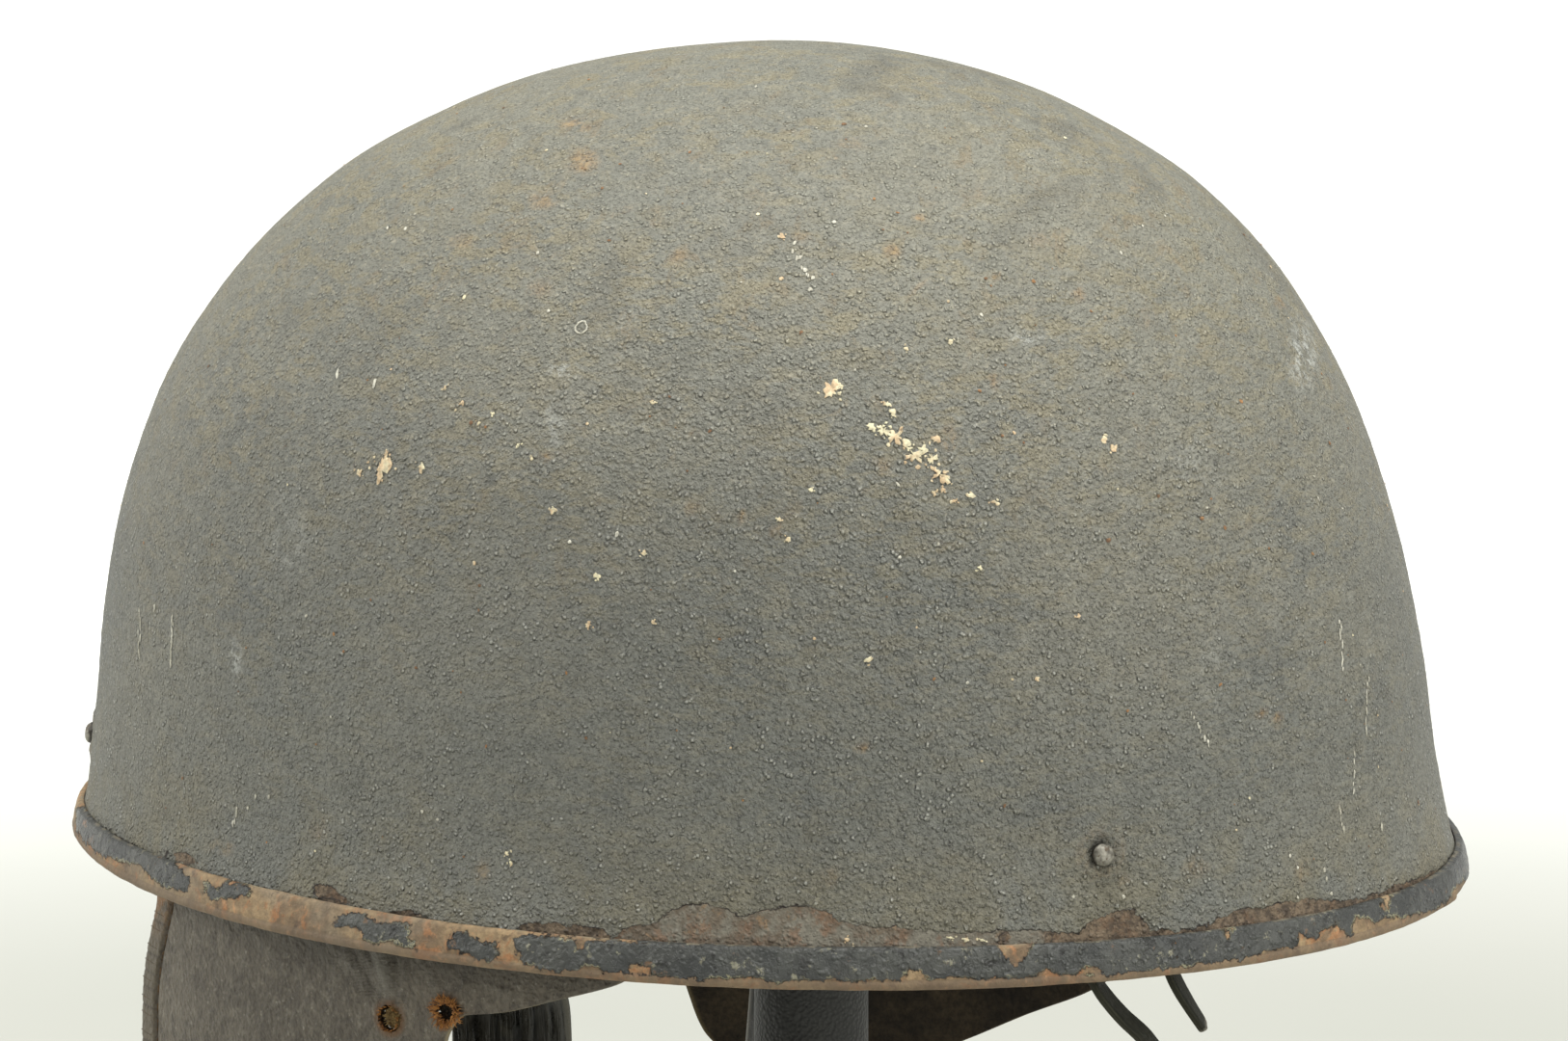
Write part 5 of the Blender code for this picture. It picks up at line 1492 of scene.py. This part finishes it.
    # whipped edge: one loop round the edge for each rung
    for k in range(int(-low / 3.6)):
        z = -1.0 - 3.6 * k
        row = int(np.argmin(np.abs(rows - z)))
        if row >= n_rows - 8:
            break
        c = int(np.argmin(np.abs(from_front[row] - 1.1)))
        a = Vector(outer[row, c] + normal[row, c] * 0.00012)
        e = Vector((outer[row, 0] + inner[row, 0]) / 2)
        away = (Vector(outer[row, 0]) - Vector(outer[row, 3])).normalized()
        e = e + away * 0.00012
        b = Vector(inner[row, c] - normal[row, c] * 0.00012)
        mid1 = Vector(outer[row, 0]) + away * 0.00004 + Vector(normal[row, 0]) * 0.00005
        thread.add([a, mid1, e, b], [0.09 * MM, 0.10 * MM, 0.10 * MM, 0.09 * MM], sides=5)
    threads = thread.build(node + "_thread", MATS["thread"], "flap_leather")

    with_pieces = [threads]

    if node == "flap_left":
        fibres = Tubes()
        rng = random.Random(5)
        for hy, hz, radius, count, reach_mm, spread in ((-15.8, -11.8, 1.65, 230, 1.5, 2.1), (-29.0, -15.0, 2.6, 46, 0.5, 1.0)):
            for _ in range(count):
                a = rng.uniform(0, 2 * math.pi)
                start_r = radius * rng.uniform(0.85, spread * 0.85)
                p0, nn = leather_points(np.array([hy + math.cos(a) * start_r]),
                                        np.array([hz + math.sin(a) * start_r]), LEATHER_INSET - 0.2, np.array([0.4]))
                n0 = Vector(nn[0])
                u = Vector((-n0.y, n0.x, 0.0))
                swing = a + rng.uniform(-1.3, 1.3)
                d = u * math.cos(swing) * 1.0 + Vector((0, 0, 1)) * math.sin(swing)
                length = reach_mm * rng.uniform(0.4, 1.0) * MM
                base = Vector(p0[0]) - n0 * rng.uniform(0.2, 0.9) * MM
                p1 = base + d * length * 0.5 + n0 * rng.uniform(0.2, 0.8) * MM
                p2 = base + d * length + n0 * rng.uniform(-0.1, 0.9) * MM
                fibres.add([base, p1, p2], [0.11 * MM, 0.08 * MM, 0.03 * MM], sides=4)
        torn = fibres.build("torn_fibres", MATS["fibre"], "flap_leather")
        # felted stuffing that shows inside the round hole
        stuffing = Tubes()
        for _ in range(420):
            a, r = rng.uniform(0, 2 * math.pi), 1.95 * math.sqrt(rng.random())
            p0, nn = leather_points(np.array([-28.1 + math.cos(a) * r]), np.array([-14.7 + math.sin(a) * r]),
                                    LEATHER_INSET + 1.5, np.array([0.4]))
            n0 = Vector(nn[0])
            d = Vector((rng.uniform(-1, 1), rng.uniform(-1, 1), rng.uniform(-1, 1))).normalized()
            p = Vector(p0[0]) + n0 * rng.uniform(-0.4, 0.5) * MM
            stuffing.add([p, p + d * 0.5 * MM, p + d * 0.9 * MM + n0 * 0.1 * MM], [0.12 * MM, 0.12 * MM, 0.06 * MM], sides=4)
        stuffed = stuffing.build("hole_stuffing", MATS["stuffing"], "flap_leather")
        # dark fibres set behind both holes: painted shade inside the holes
        hole_shade_fibres = Tubes()
        for _ in range(420):
            a, r = rng.uniform(0, 2 * math.pi), 2.5 * math.sqrt(rng.random())
            p0, nn = leather_points(np.array([-15.4 + math.cos(a) * r]), np.array([-11.8 + math.sin(a) * r]),
                                    LEATHER_INSET + 2.4, np.array([0.4]))
            n0 = Vector(nn[0])
            d = Vector((rng.uniform(-1, 1), rng.uniform(-1, 1), rng.uniform(-1, 1))).normalized()
            p = Vector(p0[0]) + n0 * rng.uniform(-0.2, 0.4) * MM
            hole_shade_fibres.add([p - d * 0.6 * MM, p, p + d * 0.6 * MM], [0.22 * MM, 0.28 * MM, 0.20 * MM], sides=5)
        for _ in range(420):
            a, r = rng.uniform(0, 2 * math.pi), 3.0 * math.sqrt(rng.random())
            p0, nn = leather_points(np.array([-29.0 + math.cos(a) * r]), np.array([-15.0 + math.sin(a) * r]),
                                    LEATHER_INSET + 2.5, np.array([0.4]))
            d = Vector((rng.uniform(-1, 1), rng.uniform(-1, 1), rng.uniform(-1, 1))).normalized()
            p = Vector(p0[0]) + Vector(nn[0]) * rng.uniform(-0.3, 0.3) * MM
            hole_shade_fibres.add([p, p + d * 0.5 * MM, p + d * 0.9 * MM], [0.16 * MM, 0.16 * MM, 0.08 * MM], sides=4)
        hole_shade_fibres = hole_shade_fibres.build("torn_hole_shade_fibres", MATS["hole_shade_fibres"], "flap_leather")
        with_pieces += [torn, stuffed, hole_shade_fibres]
    return flap


# ================================================================= strap, buckle and laces
def strip(name, path, across, width, thickness, mat, wrinkle=0.0, ends=None, columns=22):
    """Flat strip with rounded edges along a path; across(i) is the direction of its width."""
    count = len(path)
    total = path_length(path)
    verts, u_values, v_values, rim, tip = [], [], [], [], []
    walked = 0.0
    for i, p in enumerate(path):
        if i:
            walked += (p - path[i - 1]).length
        tangent = (path[min(i + 1, count - 1)] - path[max(i - 1, 0)]).normalized()
        side = across(i)
        side = (side - tangent * side.dot(tangent)).normalized()
        face = tangent.cross(side)
        half = width / 2
        if ends:
            near = min(walked, total - walked)
            if near < ends:
                half *= 0.62 + 0.38 * math.sqrt(max(1 - (1 - near / ends) ** 2, 0))
        half *= 1 + 0.03 * noise.noise(Vector((walked * 60, 3.3, 0)))
        for k in range(columns):
            w = 2 * math.pi * k / columns
            # a superellipse section: flat faces and round edges
            a = math.copysign(abs(math.cos(w)) ** 0.28, math.cos(w)) if abs(math.cos(w)) > 1e-9 else 0.0
            b = math.copysign(abs(math.sin(w)) ** 0.75, math.sin(w)) if abs(math.sin(w)) > 1e-9 else 0.0
            lift = wrinkle * (noise.noise(Vector((a * 3.1, walked * 24, 7.7)))
                              + 0.5 * noise.noise(Vector((a * 8.0, walked * 40, 2.7))))
            q = p + side * (a * half) + face * (b * thickness / 2 + lift * abs(math.sin(w)) * math.copysign(1, b))
            verts.append(tuple(q))
            u_values.append(a * 1.0 + (3.0 if b < 0 else 0.0))
            v_values.append(walked)
            rim.append(float(smoothstep(abs(a), 0.90, 0.99)))
            tip.append(0.0)
        if i in (0, count - 1):
            pass
    for k in range(columns * 2):
        tip[len(tip) - 1 - k] = 1.0
    faces = [list(f) for f in grid_faces(count, columns, wrap=True)]
    faces.append(list(range(columns))[::-1])
    faces.append([(count - 1) * columns + k for k in range(columns)])
    return mesh_object(name, verts, faces, mat,
                       {"across": u_values, "along": v_values, "rim": rim, "tip": tip}, sharp=60)


def strap_points(steps):
    right = [(-x, y + STRAP_RIGHT_Y_SHIFT_MM, h) for x, y, h in reversed(STRAP_LEFT_MM)]
    return smooth_path([to_world(r) for r in STRAP_LEFT_MM + [STRAP_BOTTOM_MM] + right], steps)


def make_strap():
    path = strap_points(420)
    strap = strip("strap_leather", path, lambda i: Vector((0, 1, 0)), STRAP_W, STRAP_T, strap_material(),
                  wrinkle=0.00022, ends=0.012, columns=34)
    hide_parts("chin_strap")

    coarse = strap_points(40)
    right = [i for i, p in enumerate(coarse) if p.x < -0.02]
    at = min(right, key=lambda i: abs(coarse[i].z - (RIM_Z + BUCKLE_HEIGHT * MM)))
    place = coarse[at]
    along = (coarse[at + 1] - coarse[at - 1]).normalized()
    side = Vector((0, 1, 0))
    side = (side - along * side.dot(along)).normalized()
    face = along.cross(side)

    def rounded(w, t, corner, n=60):
        out = []
        for k in range(n):
            a = 2 * math.pi * k / n
            ca, sa = math.cos(a), math.sin(a)
            # rounded rectangle by a high-power superellipse
            r = ((abs(ca) / w) ** corner + (abs(sa) / t) ** corner) ** (-1 / corner)
            out.append((ca * r, sa * r))
        return out

    rings = []
    inner_w, inner_t = (STRAP_W + 0.0014) / 2, (STRAP_T + 0.0016) / 2
    outer_w, outer_t = BUCKLE_W / 2, BUCKLE_T / 2
    for shrink, z in ((0.0010, -0.5), (0.0004, -0.485), (0.0, -0.455), (0.0, -0.40), (0.00015, -0.2), (0.00015, 0.2),
                      (0.0, 0.40), (0.0, 0.455), (0.0004, 0.485), (0.0010, 0.5)):
        rings.append([(x, y, z) for x, y in rounded(outer_w - shrink, outer_t - shrink * 0.6, 7.0)])
    for grow, z in ((0.0003, 0.5), (0.0, 0.48), (0.0, -0.48), (0.0003, -0.5)):
        rings.append([(x, y, z) for x, y in rounded(inner_w + grow, inner_t + grow * 0.5, 9.0)])
    verts = []
    for ring in rings:
        for x, y, z in ring:
            verts.append(tuple(place + side * x + face * y + along * (z * BUCKLE_L)))
    faces = [list(f) for f in grid_faces(len(rings), 60, wrap=True)]
    last = (len(rings) - 1) * 60
    faces += [[last + k, last + (k + 1) % 60, (k + 1) % 60, k] for k in range(60)]
    buckle = mesh_object("buckle_frame", verts, faces, buckle_material(), sharp=50)
    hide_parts("chin_buckle")


def make_laces():
    mat = lace_material()
    for name, (width, rows) in LACES_MM.items():
        points = [to_world(r) for r in rows]
        steps = 120 if name == "lace_long" else 60
        path = smooth_path(points, steps)

        top, low = (50, 36) if name == "lace_long" else (30, 44)

        def across(i):
            p = path[i]
            out = Vector((p.x, p.y - AXIS_Y, 0)).normalized()
            flat = Vector((out.y, -out.x, 0))
            drop = (RIM_Z - p.z) / MM
            turn = math.radians(top + (low - top) * float(smoothstep(drop, -2.0, 20.0)))
            return flat * math.cos(turn) + out * math.sin(turn)

        lace = strip(name + "_leather", path, across, width, LACE_T, mat,
                     wrinkle=0.00010, ends=0.0014, columns=20)
        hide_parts(name)


# ================================================================= stand
def make_stand():
    wood = wood_material()
    bottom, top = BASE_H + GAP, RIM_Z + PAD_H * MM - PAD_DROP - GAP
    mid = (bottom + top) / 2
    half = (top - bottom) / 2
    r = POST_D / 2
    profile = [(r - 0.0006, half), (r, half - 0.0006)]
    profile += [(r, half - 0.0006 - (2 * half - 0.0012) * k / 40) for k in range(1, 40)]
    profile += [(r, -half + 0.0006), (r - 0.0006, -half)]
    post = lathe("post_tube", (0, POST_Y, mid), (0, 0, 1), profile, 72, post_material(), sharp=40)
    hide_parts("stand_post")

    rb = BASE_D / 2
    profile = [(r + 0.0004, BASE_H), (rb * 0.4, BASE_H), (rb * 0.7, BASE_H), (rb - 0.006, BASE_H), (rb - 0.003, BASE_H - 0.0002)]
    profile += [(rb - 0.003 * (1 - math.sin(a)), BASE_H - 0.003 * (1 - math.cos(a)))
                for a in np.linspace(0.2, math.pi / 2, 7)]
    profile += [(rb, 0.008), (rb, 0.004), (rb, 0.0015), (rb - 0.0005, 0.0005), (rb - 0.0015, 0.0), (rb * 0.5, 0.0)]
    base = lathe("base_disc", (0, POST_Y, 0), (0, 0, 1), profile, 120, wood, sharp=40)
    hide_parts("stand_base")

    inset = STEEL / MM + 0.75
    rows = []
    table = ((PAD_H, 0.60), (PAD_H + 0.2, 0.615), (PAD_H + 0.8, 0.63), (PAD_H + 1.8, 0.665), (PAD_H + 3, 0.70), (138.8, 0.76), (141.0, 0.80),
             (144.0, 0.855), (147.0, 0.90), (150.5, 0.955), (152.2, 0.97), (152.8, 0.955), (153.0, 0.93))
    for h, share in table:
        p = plan_points(h, np.linspace(0, 2 * math.pi, 96, endpoint=False), inset)
        centre = np.array([0, AXIS_Y, 0])
        q = p.copy()
        q[:, :2] = centre[:2] + (p[:, :2] - centre[:2]) * share
        q[:, 2] -= PAD_DROP
        rows.append(q)
    verts = np.vstack(rows)
    faces = [list(f) for f in grid_faces(len(rows), 96, wrap=True)]
    faces.append(list(range(96))[::-1])
    faces.append([(len(rows) - 1) * 96 + k for k in range(96)])
    pad = mesh_object("head_rest", verts, faces, wood, sharp=40)
    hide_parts("stand_pad")


# ================================================================= stage and light
def make_stage():
    s = Shader("pale_floor", roughness=0.9, specular=0.1)
    s.set("Base Color", s.mix(s.span(s.noise(3, 3), 0.3, 0.7), (0.535, 0.545, 0.505), (0.555, 0.56, 0.52)))
    # painted light: the paper glows, more strongly away from the object
    n = s.tree.nodes.new("ShaderNodeVectorMath")
    n.operation = "LENGTH"
    s.put(n.inputs[0], s.coords)
    s.set("Emission Color", (1.0, 1.0, 0.985))
    s.set("Emission Strength", s.span(n.outputs["Value"], 0.62, 1.35, 0.0, 0.85))
    verts = [(-14, -14, 0), (14, -14, 0), (14, 14, 0), (-14, 14, 0)]
    mesh = bpy.data.meshes.new("floor")
    mesh.from_pydata(verts, [], [(0, 1, 2, 3)])
    mesh.materials.append(s.mat)
    floor = bpy.data.objects.new("floor", mesh)
    bpy.context.scene.collection.objects.link(floor)

    world = bpy.data.worlds.new("studio")
    world.use_nodes = True
    world.node_tree.nodes["Background"].inputs["Color"].default_value = (1.0, 1.0, 0.955, 1.0)
    world.node_tree.nodes["Background"].inputs["Strength"].default_value = 0.50
    bpy.context.scene.world = world

    def area(name, place, target, size, power, colour=(1, 1, 1)):
        data = bpy.data.lights.new(name, "AREA")
        data.shape = "DISK"
        data.size = size
        data.energy = power
        data.color = colour
        obj = bpy.data.objects.new(name, data)
        bpy.context.scene.collection.objects.link(obj)
        obj.location = place
        obj.rotation_mode = "QUATERNION"
        obj.rotation_quaternion = (Vector(place) - Vector(target)).to_track_quat("Z", "Y")
        return obj

    area("overhead", (0.05, 0.10, 1.75), (0, 0, 0.3), 1.3, 32, (1.0, 1.0, 0.96))
    area("side_brow", (0.35, -1.35, 0.75), (0, 0, 0.28), 0.9, 7.5, (1.0, 0.99, 0.94))
    area("side_nape", (0.10, 1.45, 0.75), (0, 0, 0.28), 0.9, 8.5, (1.0, 0.99, 0.94))


MATS = {
    "flap": flap_material(),
    "thread": thread_material("hem_thread", (0.105, 0.060, 0.026), (0.048, 0.034, 0.019)),
    "fibre": thread_material("frayed_fibre", (0.46, 0.215, 0.062), (0.24, 0.105, 0.036)),
    "hole_shade_fibres": thread_material("dark_shade_fibre", (0.012, 0.009, 0.006), (0.045, 0.028, 0.014)),
    "stuffing": thread_material("felted_fibre", (0.285, 0.200, 0.085), (0.180, 0.118, 0.050)),
}

make_laces()
make_shell()
make_flecks()
make_band()
make_rivets()
make_flap("flap_left", FLAP_LEFT_MM, 1, "left")
make_flap("flap_right", FLAP_RIGHT_MM, -1, "right")
make_strap()
make_stand()
make_stage()
